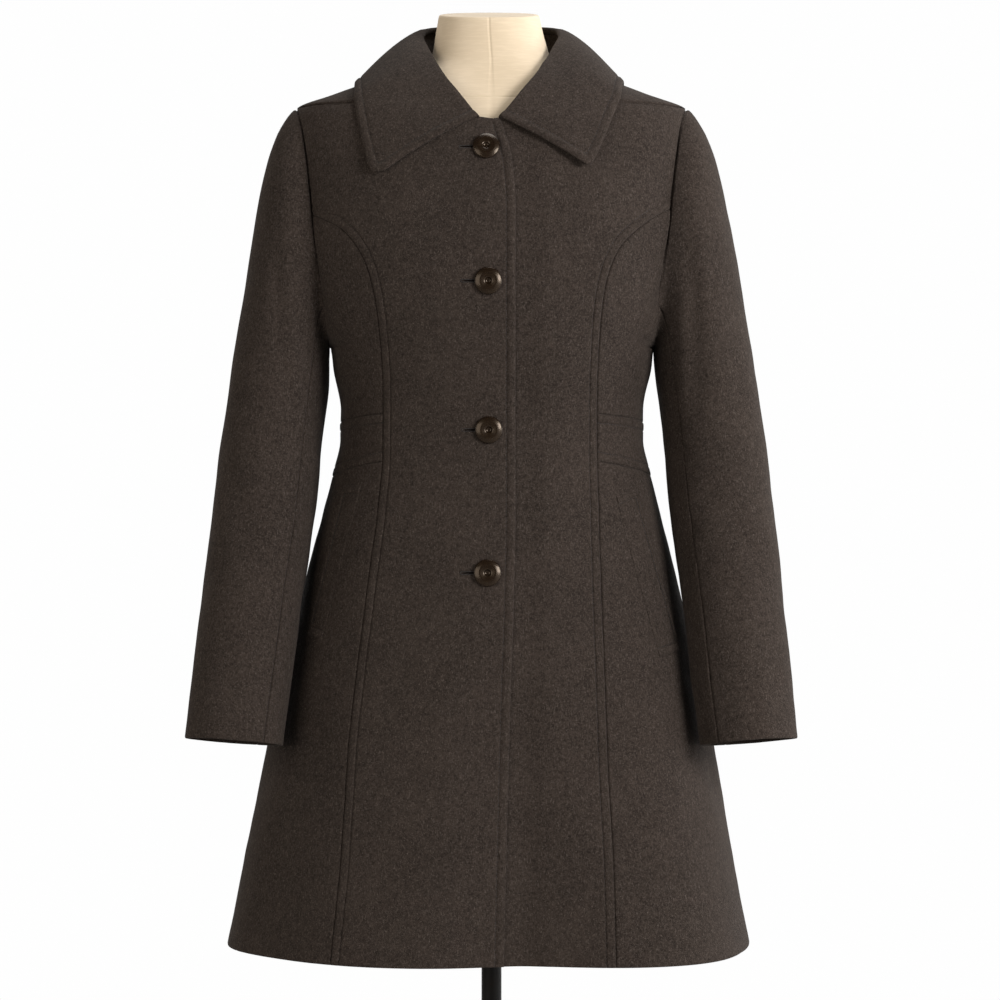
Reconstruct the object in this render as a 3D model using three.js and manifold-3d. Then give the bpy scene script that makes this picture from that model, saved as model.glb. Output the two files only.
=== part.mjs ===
// Single-breasted wool coat with princess seams, worn by a limbless dress form on a round stand.
// Millimetres, +Z up. The coat faces -Y and +X is on the viewer's right.
// The origin is on the floor under the pole.
import * as THREE from 'three';
import { mergeVertices } from 'three/addons/utils/BufferGeometryUtils.js';
import Module from 'manifold-3d';

const wasm = await Module();
wasm.setup();

// Cloth and seams.
const CLOTH = 2.6; // wall of the felted wool
const SEAM_GAP = 0.3; // space left between two pieces at a seam
const LAP_STEP = CLOTH + 0.6; // how far the under front lies below the over front
const BAND_PROUD = 0.8; // the waist band stands this far off the panels beside it
const WELT_LIFT = CLOTH + 0.45; // the pocket welt lies on the side panel
const COLLAR_CLOTH = 2.8; // wall of the collar and its stand
const STAND_CLOTH = 2.2;
const COLLAR_CLEAR = 3.5; // upper face of the collar above the body cloth
const SLICE_POWER = 2.15; // roundness of a level slice, 2 is an ellipse

// Heights of the waist band at the princess seams and at the side seams.
const HEM = 529;
const BAND_FRONT = [1008, 1054];
const BAND_SIDE = [993, 1047];
const BAND_BACK = [1002, 1050];
const UNDERARM = 1121;
const SHOULDER_TIP = 1360;

// Buttons, buttonholes, form and stand.
const BUTTON_WIDTH = 26.5;
const BUTTON_THICK = 5;
const SHANK_WIDTH = 3.4;
const BUTTONHOLE_LONG = 25;
const BUTTONHOLE_TALL = 2.2;
const EYELET_WIDTH = 5.2;
const FORM_FOOT = 850;
const POLE_WIDTH = 20;
const BASE_WIDTH = 380;
const BASE_THICK = 14;
const BOSS_WIDTH = 44;
const BOSS_HEIGHT = 42;

// Level slices of the closed body cloth: middle, half width and depth to the front and back.
// Above the underarm the half width is that of the slice as if it ran on into the sleeve.
const BODY = [
  { z: 529, mid: -3.2, half: 260.5, front: 182, back: 172 },
  { z: 600, mid: -2.8, half: 246, front: 169, back: 161 },
  { z: 680, mid: -1.6, half: 231, front: 156, back: 150 },
  { z: 770, mid: -0.2, half: 213, front: 143, back: 139 },
  { z: 860, mid: 0, half: 192, front: 131, back: 129 },
  { z: 920, mid: 0, half: 178, front: 124.5, back: 122 },
  { z: 960, mid: 0, half: 167.6, front: 119, back: 114 },
  { z: 1000, mid: 0.3, half: 157, front: 114, back: 104 },
  { z: 1030, mid: 0.3, half: 151, front: 111.5, back: 98 },
  { z: 1060, mid: 0.3, half: 151, front: 112, back: 97 },
  { z: 1100, mid: 0.3, half: 158.5, front: 119, back: 103 },
  { z: 1121, mid: 0, half: 161.5, front: 123, back: 106 },
  { z: 1135, mid: 0, half: 170, front: 125, back: 108 },
  { z: 1162, mid: 0, half: 178, front: 128, back: 111 },
  { z: 1206, mid: 0, half: 186, front: 128, back: 113 },
  { z: 1238, mid: 0, half: 190.5, front: 124, back: 113 },
  { z: 1269, mid: 0, half: 194, front: 117, back: 112 },
  { z: 1297, mid: 0, half: 196.5, front: 109, back: 109 },
  { z: 1325, mid: 0, half: 199, front: 99, back: 104 },
  { z: 1349, mid: 0, half: 199.5, front: 87, back: 96 },
  { z: 1360, mid: 0, half: 195, front: 80, back: 91 },
  { z: 1375, mid: 0, half: 153.8, front: 71, back: 83 },
  { z: 1390, mid: 0, half: 112.6, front: 62, back: 74 },
  { z: 1405, mid: 0, half: 71.4, front: 54, back: 64 },
  { z: 1411, mid: 0, half: 58, front: 51, back: 61 },
  { z: 1430, mid: -1, half: 48, front: 40, back: 50 },
  { z: 1480, mid: -1, half: 44, front: 36, back: 48 },
];

// Distance of the armhole seam from the middle.
const ARMHOLE = [
  { z: 1121, x: 161.5 },
  { z: 1162, x: 165.7 },
  { z: 1206, x: 170 },
  { z: 1238, x: 174.5 },
  { z: 1269, x: 177.7 },
  { z: 1297, x: 181 },
  { z: 1325, x: 185 },
  { z: 1349, x: 190.7 },
  { z: 1360, x: 195 },
];

// Princess seams of the front, for the viewer's left and right; the skirt hangs a little turned.
const PRINCESS_LEFT = [
  { z: 529, x: -151.7 },
  { z: 566, x: -147.8 },
  { z: 623, x: -142.6 },
  { z: 681, x: -139.2 },
  { z: 739, x: -135.8 },
  { z: 813, x: -128.6 },
  { z: 971, x: -109.1 },
  { z: 1008, x: -105.9 },
  { z: 1083, x: -105.3 },
  { z: 1114, x: -107 },
  { z: 1145, x: -109.7 },
  { z: 1173, x: -114 },
  { z: 1196, x: -120.3 },
  { z: 1217, x: -131.2 },
  { z: 1235.5, x: -148.3 },
  { z: 1250, x: -175.3 },
];
const PRINCESS_RIGHT = [
  { z: 529, x: 112.5 },
  { z: 624, x: 111.3 },
  { z: 723, x: 108.4 },
  { z: 845, x: 106.8 },
  { z: 955, x: 105 },
  { z: 1012, x: 103.4 },
  { z: 1083, x: 103.3 },
  { z: 1114, x: 105 },
  { z: 1145, x: 106.7 },
  { z: 1176, x: 110.5 },
  { z: 1195, x: 115.5 },
  { z: 1215, x: 125.3 },
  { z: 1229, x: 138.2 },
  { z: 1242, x: 154 },
  { z: 1256, x: 176 },
];
const PRINCESS_BACK = [
  { z: 529, x: 128 },
  { z: 700, x: 112 },
  { z: 860, x: 94 },
  { z: 960, x: 82 },
  { z: 1030, x: 77 },
  { z: 1100, x: 82 },
  { z: 1170, x: 95 },
  { z: 1215, x: 112 },
  { z: 1240, x: 131 },
  { z: 1258, x: 176.4 },
];

// Front edge of the over front, then its neckline from the front corner to the neck point.
const OVER_EDGE = [
  { z: 529, x: 13.6 },
  { z: 798, x: 19.6 },
  { z: 855, x: 21.5 },
  { z: 970, x: 23.5 },
  { z: 1258, x: 23.5 },
  { z: 1294, x: 20.7 },
  { z: 1310, x: 17.9 },
  { z: 1330, x: 12.1 },
  { z: 1338.5, x: 8.2 },
  { z: 1341, x: -12 },
  { z: 1347, x: -27 },
  { z: 1360, x: -43 },
  { z: 1377, x: -57 },
  { z: 1394, x: -67 },
  { z: 1405, x: -71 },
];
// Front edge of the under front, hidden by the lap, then its neckline.
const UNDER_EDGE = [
  { z: 529, x: -24 },
  { z: 970, x: -24 },
  { z: 1290, x: -22 },
  { z: 1330, x: -12 },
  { z: 1338.5, x: -5 },
  { z: 1341, x: 11 },
  { z: 1347, x: 26 },
  { z: 1360, x: 42 },
  { z: 1377, x: 56 },
  { z: 1394, x: 66 },
  { z: 1405, x: 70.5 },
];
// Back neckline from the centre back seam to the neck point.
const BACK_NECK = [
  { z: 1397.5, x: 0 },
  { z: 1399, x: 26 },
  { z: 1401, x: 48 },
  { z: 1403, x: 61 },
  { z: 1405, x: 70.5 },
];

// Hanging flutes of the skirt: direction round the body, breadth, and how far out at the hem.
const FLUTES = [
  { at: 42, wide: 22, out: 24 },
  { at: 8, wide: 13, out: -17 },
  { at: -22, wide: 15, out: 4 },
  { at: -55, wide: 14, out: -4 },
  { at: 128, wide: 15, out: 13 },
  { at: 158, wide: 12, out: -9 },
  { at: 184, wide: 13, out: 9 },
  { at: 212, wide: 13, out: -8 },
  { at: 236, wide: 15, out: 11 },
];
const FLUTE_TOP = 930;

// Sleeve rings from the armhole to the cuff, seen from the front: outer and inner end of each
// ring, its middle in depth, half depth, how far its back hangs down, and the share of ellipse.
const SLEEVE = [
  { ox: 195.5, oz: 1360, ix: 162, iz: 1121, y: 0, deep: 58, drop: 0, round: 0 },
  { ox: 202, oz: 1358.5, ix: 162.1, iz: 1118.5, y: 0, deep: 59, drop: 0, round: 0.35 },
  { ox: 208.5, oz: 1353, ix: 162.2, iz: 1115.5, y: 0, deep: 60, drop: 0, round: 0.6 },
  { ox: 213.5, oz: 1343.5, ix: 162.4, iz: 1112, y: 0, deep: 61, drop: 0, round: 0.8 },
  { ox: 217, oz: 1331, ix: 162.6, iz: 1108, y: 0, deep: 62, drop: 0, round: 0.95 },
  { ox: 223.5, oz: 1309, ix: 162.8, iz: 1102, y: 0, deep: 63, drop: 0, round: 1 },
  { ox: 231, oz: 1279, ix: 163.2, iz: 1094, y: 0, deep: 64, drop: 0, round: 1 },
  { ox: 238, oz: 1240, ix: 163.8, iz: 1085, y: 0, deep: 64, drop: 0, round: 1 },
  { ox: 245, oz: 1198, ix: 164.8, iz: 1074, y: -2, deep: 64, drop: 0, round: 1 },
  { ox: 251.5, oz: 1156, ix: 166.4, iz: 1060, y: -4, deep: 63, drop: 1, round: 1 },
  { ox: 258, oz: 1115, ix: 168.4, iz: 1042, y: -7, deep: 62, drop: 1, round: 1 },
  { ox: 264, oz: 1073, ix: 170.6, iz: 1019, y: -11, deep: 61, drop: 2, round: 1 },
  { ox: 269.5, oz: 1031, ix: 172.4, iz: 993, y: -18, deep: 60, drop: 2, round: 1 },
  { ox: 274.5, oz: 989, ix: 174.6, iz: 966, y: -25, deep: 58, drop: 3, round: 1 },
  { ox: 278.8, oz: 948, ix: 178, iz: 936, y: -34, deep: 56, drop: 4, round: 1 },
  { ox: 282.6, oz: 907, ix: 182.4, iz: 902, y: -44, deep: 54, drop: 5, round: 1 },
  { ox: 286.3, oz: 865, ix: 187.4, iz: 864, y: -55, deep: 51, drop: 6, round: 1 },
  { ox: 289.8, oz: 822, ix: 192, iz: 821, y: -67, deep: 48, drop: 7, round: 1 },
  { ox: 293.6, oz: 779, ix: 197, iz: 775, y: -79, deep: 45, drop: 9, round: 1 },
  { ox: 297, oz: 739, ix: 202, iz: 732, y: -91, deep: 42.5, drop: 11, round: 1 },
];
// Sleeve seams, degrees round the ring from the shoulder over the front.
const FOREARM_SEAM = 132;
const HINDARM_SEAM = 245;

// Collar from the centre front to the centre back: roll line (r), bulge (m) and outer edge (e).
const COLLAR_LEFT = [
  { rx: -13, ry: -93, rz: 1342, mx: -58, my: -100, mz: 1328, ex: -106, ey: -98, ez: 1284, off: 3.6 },
  { rx: -21, ry: -90, rz: 1351, mx: -64, my: -98, mz: 1334, ex: -114.5, ey: -93, ez: 1289, off: 3.6 },
  { rx: -34, ry: -82, rz: 1367, mx: -76, my: -88, mz: 1345, ex: -121.5, ey: -84, ez: 1310, off: 3.6 },
  { rx: -48, ry: -67, rz: 1386, mx: -88, my: -76, mz: 1368, ex: -128, ey: -72, ez: 1336, off: 3.6 },
  { rx: -58, ry: -44, rz: 1405, mx: -92, my: -54, mz: 1399, ex: -132.5, ey: -52, ez: 1362, off: 3.6 },
  { rx: -66, ry: -20, rz: 1422, mx: -92, my: -24, mz: 1423, ex: -135, ey: -22, ez: 1379, off: 3.6 },
  { rx: -71, ry: 8, rz: 1437, mx: -94, my: 10, mz: 1440, ex: -136, ey: 14, ez: 1383, off: 3.6 },
  { rx: -68, ry: 34, rz: 1446, mx: -84, my: 44, mz: 1451, ex: -125, ey: 58, ez: 1378, off: 3.6 },
  { rx: -52, ry: 58, rz: 1451, mx: -62, my: 75, mz: 1454, ex: -92, ey: 88, ez: 1373, off: 3.6 },
  { rx: -27, ry: 71, rz: 1453, mx: -32, my: 92, mz: 1455, ex: -46, ey: 97, ez: 1371, off: 3.6 },
  { rx: 0, ry: 75, rz: 1453.5, mx: 0, my: 98, mz: 1455, ex: 0, ey: 99, ez: 1370, off: 3.6 },
];
const COLLAR_RIGHT = [
  { rx: 10, ry: -93, rz: 1343, mx: 52, my: -101, mz: 1331, ex: 90.5, ey: -101, ez: 1290, off: 8.5 },
  { rx: 19, ry: -89, rz: 1353, mx: 60, my: -98, mz: 1337, ex: 94.5, ey: -99, ez: 1293, off: 8.5 },
  { rx: 32, ry: -80, rz: 1369, mx: 72, my: -88, mz: 1348, ex: 106, ey: -89, ez: 1315.5, off: 7 },
  { rx: 46, ry: -65, rz: 1388, mx: 84, my: -76, mz: 1371, ex: 117.5, ey: -75, ez: 1343, off: 5.5 },
  { rx: 56, ry: -42, rz: 1406, mx: 89, my: -54, mz: 1401, ex: 126, ey: -54, ez: 1364, off: 4.2 },
  { rx: 64, ry: -20, rz: 1422, mx: 90, my: -24, mz: 1424, ex: 130, ey: -24, ez: 1380.5, off: 3.6 },
  { rx: 70, ry: 8, rz: 1437, mx: 93, my: 10, mz: 1440, ex: 133, ey: 14, ez: 1384, off: 3.6 },
  { rx: 68, ry: 34, rz: 1446, mx: 84, my: 44, mz: 1451, ex: 124, ey: 58, ez: 1378, off: 3.6 },
  { rx: 52, ry: 58, rz: 1451, mx: 62, my: 75, mz: 1454, ex: 92, ey: 88, ez: 1373, off: 3.6 },
  { rx: 27, ry: 71, rz: 1453, mx: 32, my: 92, mz: 1455, ex: 46, ey: 97, ez: 1371, off: 3.6 },
  { rx: 0, ry: 75, rz: 1453.5, mx: 0, my: 98, mz: 1455, ex: 0, ey: 99, ez: 1370, off: 3.6 },
];
// Foot of the collar stand along the neckline; at runs from the centre front to the centre back.
const STAND_FEET = [
  { at: 0.2, x: 35, y: -74, z: 1355, off: 0.7 },
  { at: 0.3, x: 47, y: -63, z: 1366, off: 0.7 },
  { at: 0.4, x: 59, y: -46, z: 1382, off: 0.8 },
  { at: 0.5, x: 68.5, y: -24, z: 1399.5, off: 1.6 },
  { at: 0.6, x: 73, y: 5, z: 1406.5, off: 1.4 },
  { at: 0.7, x: 68, y: 30, z: 1404, off: 0.9 },
  { at: 0.8, x: 52, y: 50, z: 1402, off: 0.7 },
  { at: 0.9, x: 27, y: 63, z: 1400, off: 0.7 },
  { at: 1, x: 0, y: 67, z: 1399, off: 0.7 },
];

// Corners of the pocket welts: top and bottom of the inner and outer edge.
const WELTS = [
  { name: 'pocket_welt_right', inX: [-127, -166], inZ: [984, 834], outX: [-143.5, -180], outZ: [985, 839] },
  { name: 'pocket_welt_left', inX: [121.2, 160], inZ: [974, 817.5], outX: [140.4, 183.4], outZ: [982, 823.5] },
];

// Button centres.
const BUTTONS = [
  { name: 'button_1', x: -4.7, z: 1311 },
  { name: 'button_2', x: -2.7, z: 1180 },
  { name: 'button_3', x: -2.2, z: 1037.5 },
  { name: 'button_4', x: -3.4, z: 900 },
];

// The dress form under the cloth, with its neck.
const FORM = [
  { z: 850, mid: 0, half: 176, front: 120, back: 117, lean: 0 },
  { z: 858, mid: 0, half: 180, front: 123, back: 120, lean: 0 },
  { z: 900, mid: 0, half: 174, front: 119, back: 117, lean: 0 },
  { z: 960, mid: 0, half: 159, front: 111, back: 105, lean: 0 },
  { z: 1000, mid: 0, half: 148, front: 106, back: 95, lean: 0 },
  { z: 1030, mid: 0, half: 143, front: 104, back: 90, lean: 0 },
  { z: 1060, mid: 0, half: 143, front: 104, back: 89, lean: 0 },
  { z: 1100, mid: 0, half: 149, front: 110, back: 95, lean: 0 },
  { z: 1150, mid: 0, half: 155, front: 117, back: 102, lean: 0 },
  { z: 1206, mid: 0, half: 160, front: 118, back: 105, lean: 0 },
  { z: 1250, mid: 0, half: 166, front: 112, back: 105, lean: 0 },
  { z: 1297, mid: 0, half: 171, front: 99, back: 101, lean: 0 },
  { z: 1325, mid: 0, half: 174, front: 89, back: 96, lean: 0 },
  { z: 1347, mid: 0, half: 177, front: 78, back: 88, lean: 0 },
  { z: 1356, mid: 0, half: 176, front: 73, back: 84, lean: 0 },
  { z: 1371, mid: 0, half: 151, front: 63, back: 75.5, lean: 0 },
  { z: 1386, mid: 0, half: 110, front: 54.5, back: 66, lean: 0 },
  { z: 1396, mid: 0, half: 82.5, front: 50, back: 61, lean: 0 },
  { z: 1403, mid: 0, half: 66.5, front: 47.5, back: 58, lean: 0 },
  { z: 1411, mid: -0.5, half: 60, front: 46.5, back: 56.5, lean: 0.02 },
  { z: 1421, mid: -1, half: 57, front: 46, back: 56, lean: 0.06 },
  { z: 1437, mid: -2, half: 53.5, front: 45.5, back: 55.5, lean: 0.13 },
  { z: 1455, mid: -2.5, half: 50, front: 45, back: 55, lean: 0.2 },
];

const COAT_LEFT_COLOUR = '#38322e';
const COAT_RIGHT_COLOUR = '#3a3430';
const BUTTON_COLOUR = '#2b1a14';
const MUSLIN_COLOUR = '#d9c8a9';
const BLACK_COLOUR = '#17181a';

function material(colour, roughness, metalness) {
  return new THREE.MeshStandardMaterial({ color: colour, roughness, metalness });
}

// Smooth, non-overshooting value of one column of a table at a given height or station.
function column(table, key, value) {
  return (at) => {
    const n = table.length;
    if (at <= table[0][key]) return table[0][value];
    if (at >= table[n - 1][key]) return table[n - 1][value];
    let i = 0;
    while (at > table[i + 1][key]) i += 1;
    const step = (j) => table[j + 1][key] - table[j][key];
    const slope = (j) => (table[j + 1][value] - table[j][value]) / step(j);
    const tangent = (j) => {
      if (j === 0) return slope(0);
      if (j === n - 1) return slope(n - 2);
      const before = slope(j - 1);
      const after = slope(j);
      if (before * after <= 0) return 0;
      const a = 2 * step(j) + step(j - 1);
      const b = step(j) + 2 * step(j - 1);
      return (a + b) / (a / before + b / after);
    };
    const h = step(i);
    const t = (at - table[i][key]) / h;
    const from = (1 + 2 * t) * (1 - t) ** 2 * table[i][value];
    const to = t * t * (3 - 2 * t) * table[i + 1][value];
    return from + to + t * (1 - t) ** 2 * h * tangent(i) - t * t * (1 - t) * h * tangent(i + 1);
  };
}

const lerp = THREE.MathUtils.lerp;
const rad = THREE.MathUtils.degToRad;
const smooth = THREE.MathUtils.smoothstep;

const bodyMid = column(BODY, 'z', 'mid');
const bodyHalf = column(BODY, 'z', 'half');
const bodyFront = column(BODY, 'z', 'front');
const bodyBack = column(BODY, 'z', 'back');
const armholeX = column(ARMHOLE, 'z', 'x');
const overEdge = column(OVER_EDGE, 'z', 'x');
const underEdge = column(UNDER_EDGE, 'z', 'x');
const backNeck = column(BACK_NECK, 'z', 'x');
const princessBack = column(PRINCESS_BACK, 'z', 'x');
const princessLeft = column(PRINCESS_LEFT, 'z', 'x');
const princessRight = column(PRINCESS_RIGHT, 'z', 'x');

// Outward push of the hanging flutes at an angle and a height.
function flute(angle, z) {
  const fall = Math.max(0, (FLUTE_TOP - z) / (FLUTE_TOP - HEM)) ** 1.4;
  if (fall === 0) return 0;
  const turn = THREE.MathUtils.radToDeg(angle);
  let push = 0;
  for (const f of FLUTES) {
    const away = ((turn - f.at + 540) % 360) - 180;
    push += f.out * Math.exp(-((away / f.wide) ** 2));
  }
  return push * fall;
}

// Point of the body cloth: angle 0 is the centre front, 90 degrees the viewer's right side.
function bodyPoint(angle, z) {
  const s = Math.sin(angle);
  const c = Math.cos(angle);
  const wide = Math.abs(s) ** (2 / SLICE_POWER);
  const deep = Math.abs(c) ** (2 / SLICE_POWER);
  const depth = c > 0 ? bodyFront(z) : bodyBack(z);
  const x = Math.sign(s) * wide * bodyHalf(z);
  const y = -Math.sign(c) * deep * depth;
  const push = 1 + flute(angle, z) / Math.hypot(x, y);
  return new THREE.Vector3(bodyMid(z) + x * push, y * push, z);
}

// Angle of the body cloth where it crosses a given x, on the front or on the back.
function angleAt(x, z, back) {
  const share = Math.min(1, Math.abs(x - bodyMid(z)) / bodyHalf(z)) ** (SLICE_POWER / 2);
  const angle = Math.asin(share) * Math.sign(x - bodyMid(z));
  return back ? Math.PI - angle : angle;
}

// Angle of the armhole edge; side is -1 or 1.
function armholeAngle(z, side, back) {
  return angleAt(side * armholeX(z), z, back);
}

// Outward normal of a surface given by a function of two numbers.
function normalOf(surface, u, v, du, dv) {
  const along = surface(u + du, v).sub(surface(u - du, v));
  const up = surface(u, v + dv).sub(surface(u, v - dv));
  return along.cross(up).normalize();
}

function bodyNormal(angle, z) {
  return normalOf(bodyPoint, angle, z, 0.004, 0.6);
}

// Closed solid from an outer and an inner grid of points with the same rows and columns.
function wallSolid(outer, inner) {
  const rows = outer.length;
  const cols = outer[0].length;
  const points = [...outer.flat(), ...inner.flat()];
  const back = rows * cols;
  const index = [];
  const quad = (a, b, c, d) => index.push(a, b, c, a, c, d);
  for (let r = 0; r < rows - 1; r += 1) {
    for (let c = 0; c < cols - 1; c += 1) {
      const at = r * cols + c;
      quad(at, at + 1, at + cols + 1, at + cols);
      quad(back + at, back + at + cols, back + at + cols + 1, back + at + 1);
    }
  }
  const border = [];
  for (let c = 0; c < cols - 1; c += 1) border.push(c);
  for (let r = 0; r < rows - 1; r += 1) border.push(r * cols + cols - 1);
  for (let c = cols - 1; c > 0; c -= 1) border.push((rows - 1) * cols + c);
  for (let r = rows - 1; r > 0; r -= 1) border.push(r * cols);
  border.forEach((a, i) => {
    const b = border[(i + 1) % border.length];
    quad(a, back + a, back + b, b);
  });
  const geometry = new THREE.BufferGeometry().setFromPoints(points);
  geometry.setIndex(index);
  return faceOut(geometry);
}

// Turns every face round when the solid is inside out.
function faceOut(geometry) {
  const p = geometry.getAttribute('position');
  const index = geometry.getIndex().array;
  const a = new THREE.Vector3();
  const b = new THREE.Vector3();
  const c = new THREE.Vector3();
  let volume = 0;
  for (let i = 0; i < index.length; i += 3) {
    a.fromBufferAttribute(p, index[i]);
    b.fromBufferAttribute(p, index[i + 1]);
    c.fromBufferAttribute(p, index[i + 2]);
    volume += a.dot(b.cross(c));
  }
  if (volume < 0) {
    for (let i = 0; i < index.length; i += 3) [index[i + 1], index[i + 2]] = [index[i + 2], index[i + 1]];
  }
  geometry.computeVertexNormals();
  return geometry;
}

// Angle that leaves half the seam gap beside an edge, more where the edge runs slantwise.
function seamInset(edge, row) {
  const here = edge(row);
  const before = edge(row - 0.8);
  const after = edge(row + 0.8);
  const run = bodyPoint(after.angle, after.z).sub(bodyPoint(before.angle, before.z)).normalize();
  const across = bodyPoint(here.angle + 0.01, here.z).sub(bodyPoint(here.angle - 0.01, here.z));
  const speed = across.length() / 0.02;
  const slant = across.normalize().cross(run).length();
  return SEAM_GAP / 2 / speed / Math.max(0.18, slant);
}

// Piece of body cloth between two edges. Each edge gives angle and z for a row; lift moves it out.
function bodyPiece({ rows, across, edgeA, edgeB, lift = () => 0, thick = CLOTH }) {
  const outer = [];
  const inner = [];
  for (const row of rows) {
    const a = edgeA(row);
    const b = edgeB(row);
    const turn = Math.sign(b.angle - a.angle);
    const from = a.angle + turn * seamInset(edgeA, row);
    const to = b.angle - turn * seamInset(edgeB, row);
    const outerRow = [];
    const innerRow = [];
    for (let c = 0; c <= across; c += 1) {
      const t = c / across;
      const angle = lerp(from, to, t);
      const z = lerp(a.z, b.z, t);
      const normal = bodyNormal(angle, z);
      const point = bodyPoint(angle, z);
      point.addScaledVector(normal, lift(point, angle));
      outerRow.push(point);
      innerRow.push(point.clone().addScaledVector(normal, -thick));
    }
    outer.push(outerRow);
    inner.push(innerRow);
  }
  return wallSolid(outer, inner);
}

const SKIRT_ROWS = [529, 572, 616, 660, 705, 750, 795, 840, 884, 922, 955, 984, 1008];
const BAND_ROWS = [1008, 1023, 1039, 1054];
const CHEST_ROWS = [1054, 1076, 1099, 1121, 1143, 1165, 1186, 1205, 1220, 1231, 1238, 1243];
const FRONT_TOP_ROWS = [1268, 1286, 1304, 1320, 1331, 1338.5, 1341, 1347, 1360, 1377, 1392, 1404];
const BACK_TOP_ROWS = [1275, 1297, 1318, 1338, 1351, 1360, 1377, 1390, 1397.5, 1399, 1401, 1404];

const distinct = (list) => [...new Set(list)];
const remap = (v, from, to) => lerp(to[0], to[1], (v - from[0]) / (from[1] - from[0]));

// The over front is on the viewer's left, the under front on the viewer's right.
function frontPanel(side) {
  const over = side < 0;
  const princess = over ? princessLeft : princessRight;
  const meet = over ? 1250 : 1256;
  const edge = over ? overEdge : underEdge;
  const rows = distinct([...SKIRT_ROWS, ...BAND_ROWS, ...CHEST_ROWS, meet - 2, meet, ...FRONT_TOP_ROWS]);
  const sink = (p) => (over ? 0 : -LAP_STEP * (1 - smooth(p.x, 30, 56)));
  return bodyPiece({
    rows,
    across: 7,
    edgeA: (z) => ({ angle: angleAt(edge(z), z, false), z }),
    edgeB: (z) => {
      if (z >= SHOULDER_TIP) return { angle: (side * Math.PI) / 2, z };
      if (z > meet) return { angle: armholeAngle(z, side, false), z };
      return { angle: angleAt(princess(z), z, false), z };
    },
    lift: sink,
  });
}

function backPanel(side) {
  const meet = 1258;
  const rows = distinct([...SKIRT_ROWS, ...BAND_ROWS, ...CHEST_ROWS, meet - 2, meet, ...BACK_TOP_ROWS]);
  const edgeZ = (z) => {
    if (z <= BAND_FRONT[0]) return remap(z, [HEM, BAND_FRONT[0]], [HEM, BAND_BACK[0]]);
    if (z <= BAND_FRONT[1]) return remap(z, BAND_FRONT, BAND_BACK);
    if (z < meet) return remap(z, [BAND_FRONT[1], meet], [BAND_BACK[1], meet]);
    return z;
  };
  return bodyPiece({
    rows,
    across: 7,
    edgeA: (row) => {
      const z = edgeZ(row);
      if (z <= 1397.5) return { angle: side * Math.PI, z };
      return { angle: side * angleAt(backNeck(z), z, true), z };
    },
    edgeB: (row) => {
      const z = edgeZ(row);
      if (z >= SHOULDER_TIP) return { angle: (side * Math.PI) / 2, z };
      if (z > meet) return { angle: side * armholeAngle(z, 1, true), z };
      return { angle: side * angleAt(princessBack(z), z, true), z };
    },
  });
}

// Side pieces run between the princess seam and the side seam, in front or behind it.
function sidePiece(side, back, level) {
  const princess = back ? princessBack : side < 0 ? princessLeft : princessRight;
  const meet = back ? 1258 : side < 0 ? 1250 : 1256;
  const band = back ? BAND_BACK : BAND_FRONT;
  const half = SEAM_GAP / 2;
  const seamAngle = (z) => {
    if (back) return side * angleAt(princess(z), z, true);
    return angleAt(princess(z), z, false);
  };
  const settings = {
    skirt: { rows: SKIRT_ROWS, from: [HEM, BAND_FRONT[0]], seam: [HEM, band[0] - half], edge: [HEM, BAND_SIDE[0] - half] },
    band: {
      rows: BAND_ROWS,
      from: BAND_FRONT,
      seam: [band[0] + half, band[1] - half],
      edge: [BAND_SIDE[0] + half, BAND_SIDE[1] - half],
    },
    chest: {
      rows: [...CHEST_ROWS, meet - 2],
      from: [BAND_FRONT[1], UNDERARM],
      seam: [band[1] + half, UNDERARM],
      edge: [BAND_SIDE[1] + half, UNDERARM],
    },
  }[level];
  const zOf = (row, span) => (row > settings.from[1] ? row : remap(row, settings.from, span));
  return bodyPiece({
    rows: settings.rows,
    across: 5,
    edgeA: (row) => {
      const z = zOf(row, settings.seam);
      return { angle: seamAngle(z), z };
    },
    edgeB: (row) => {
      const z = zOf(row, settings.edge);
      if (z <= UNDERARM) return { angle: (side * Math.PI) / 2, z };
      return { angle: back ? side * armholeAngle(z, 1, true) : armholeAngle(z, side, false), z };
    },
    lift: () => (level === 'band' ? BAND_PROUD : 0),
  });
}

// Pocket welt laid on the side panel, slanting down and outwards.
function welt(w) {
  const outer = [];
  const inner = [];
  for (let r = 0; r <= 7; r += 1) {
    const down = r / 7;
    const outerRow = [];
    const innerRow = [];
    for (let c = 0; c <= 2; c += 1) {
      const x = lerp(lerp(w.inX[0], w.inX[1], down), lerp(w.outX[0], w.outX[1], down), c / 2);
      const z = lerp(lerp(w.inZ[0], w.inZ[1], down), lerp(w.outZ[0], w.outZ[1], down), c / 2);
      const angle = angleAt(x, z, false);
      const normal = bodyNormal(angle, z);
      const point = bodyPoint(angle, z).addScaledVector(normal, WELT_LIFT);
      outerRow.push(point);
      innerRow.push(point.clone().addScaledVector(normal, -CLOTH));
    }
    outer.push(outerRow);
    inner.push(innerRow);
  }
  return wallSolid(outer, inner);
}

SLEEVE.forEach((ring, i) => {
  ring.at = i;
});
const ringColumn = Object.fromEntries(
  ['ox', 'oz', 'ix', 'iz', 'y', 'deep', 'drop', 'round'].map((key) => [key, column(SLEEVE, 'at', key)]),
);

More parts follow.
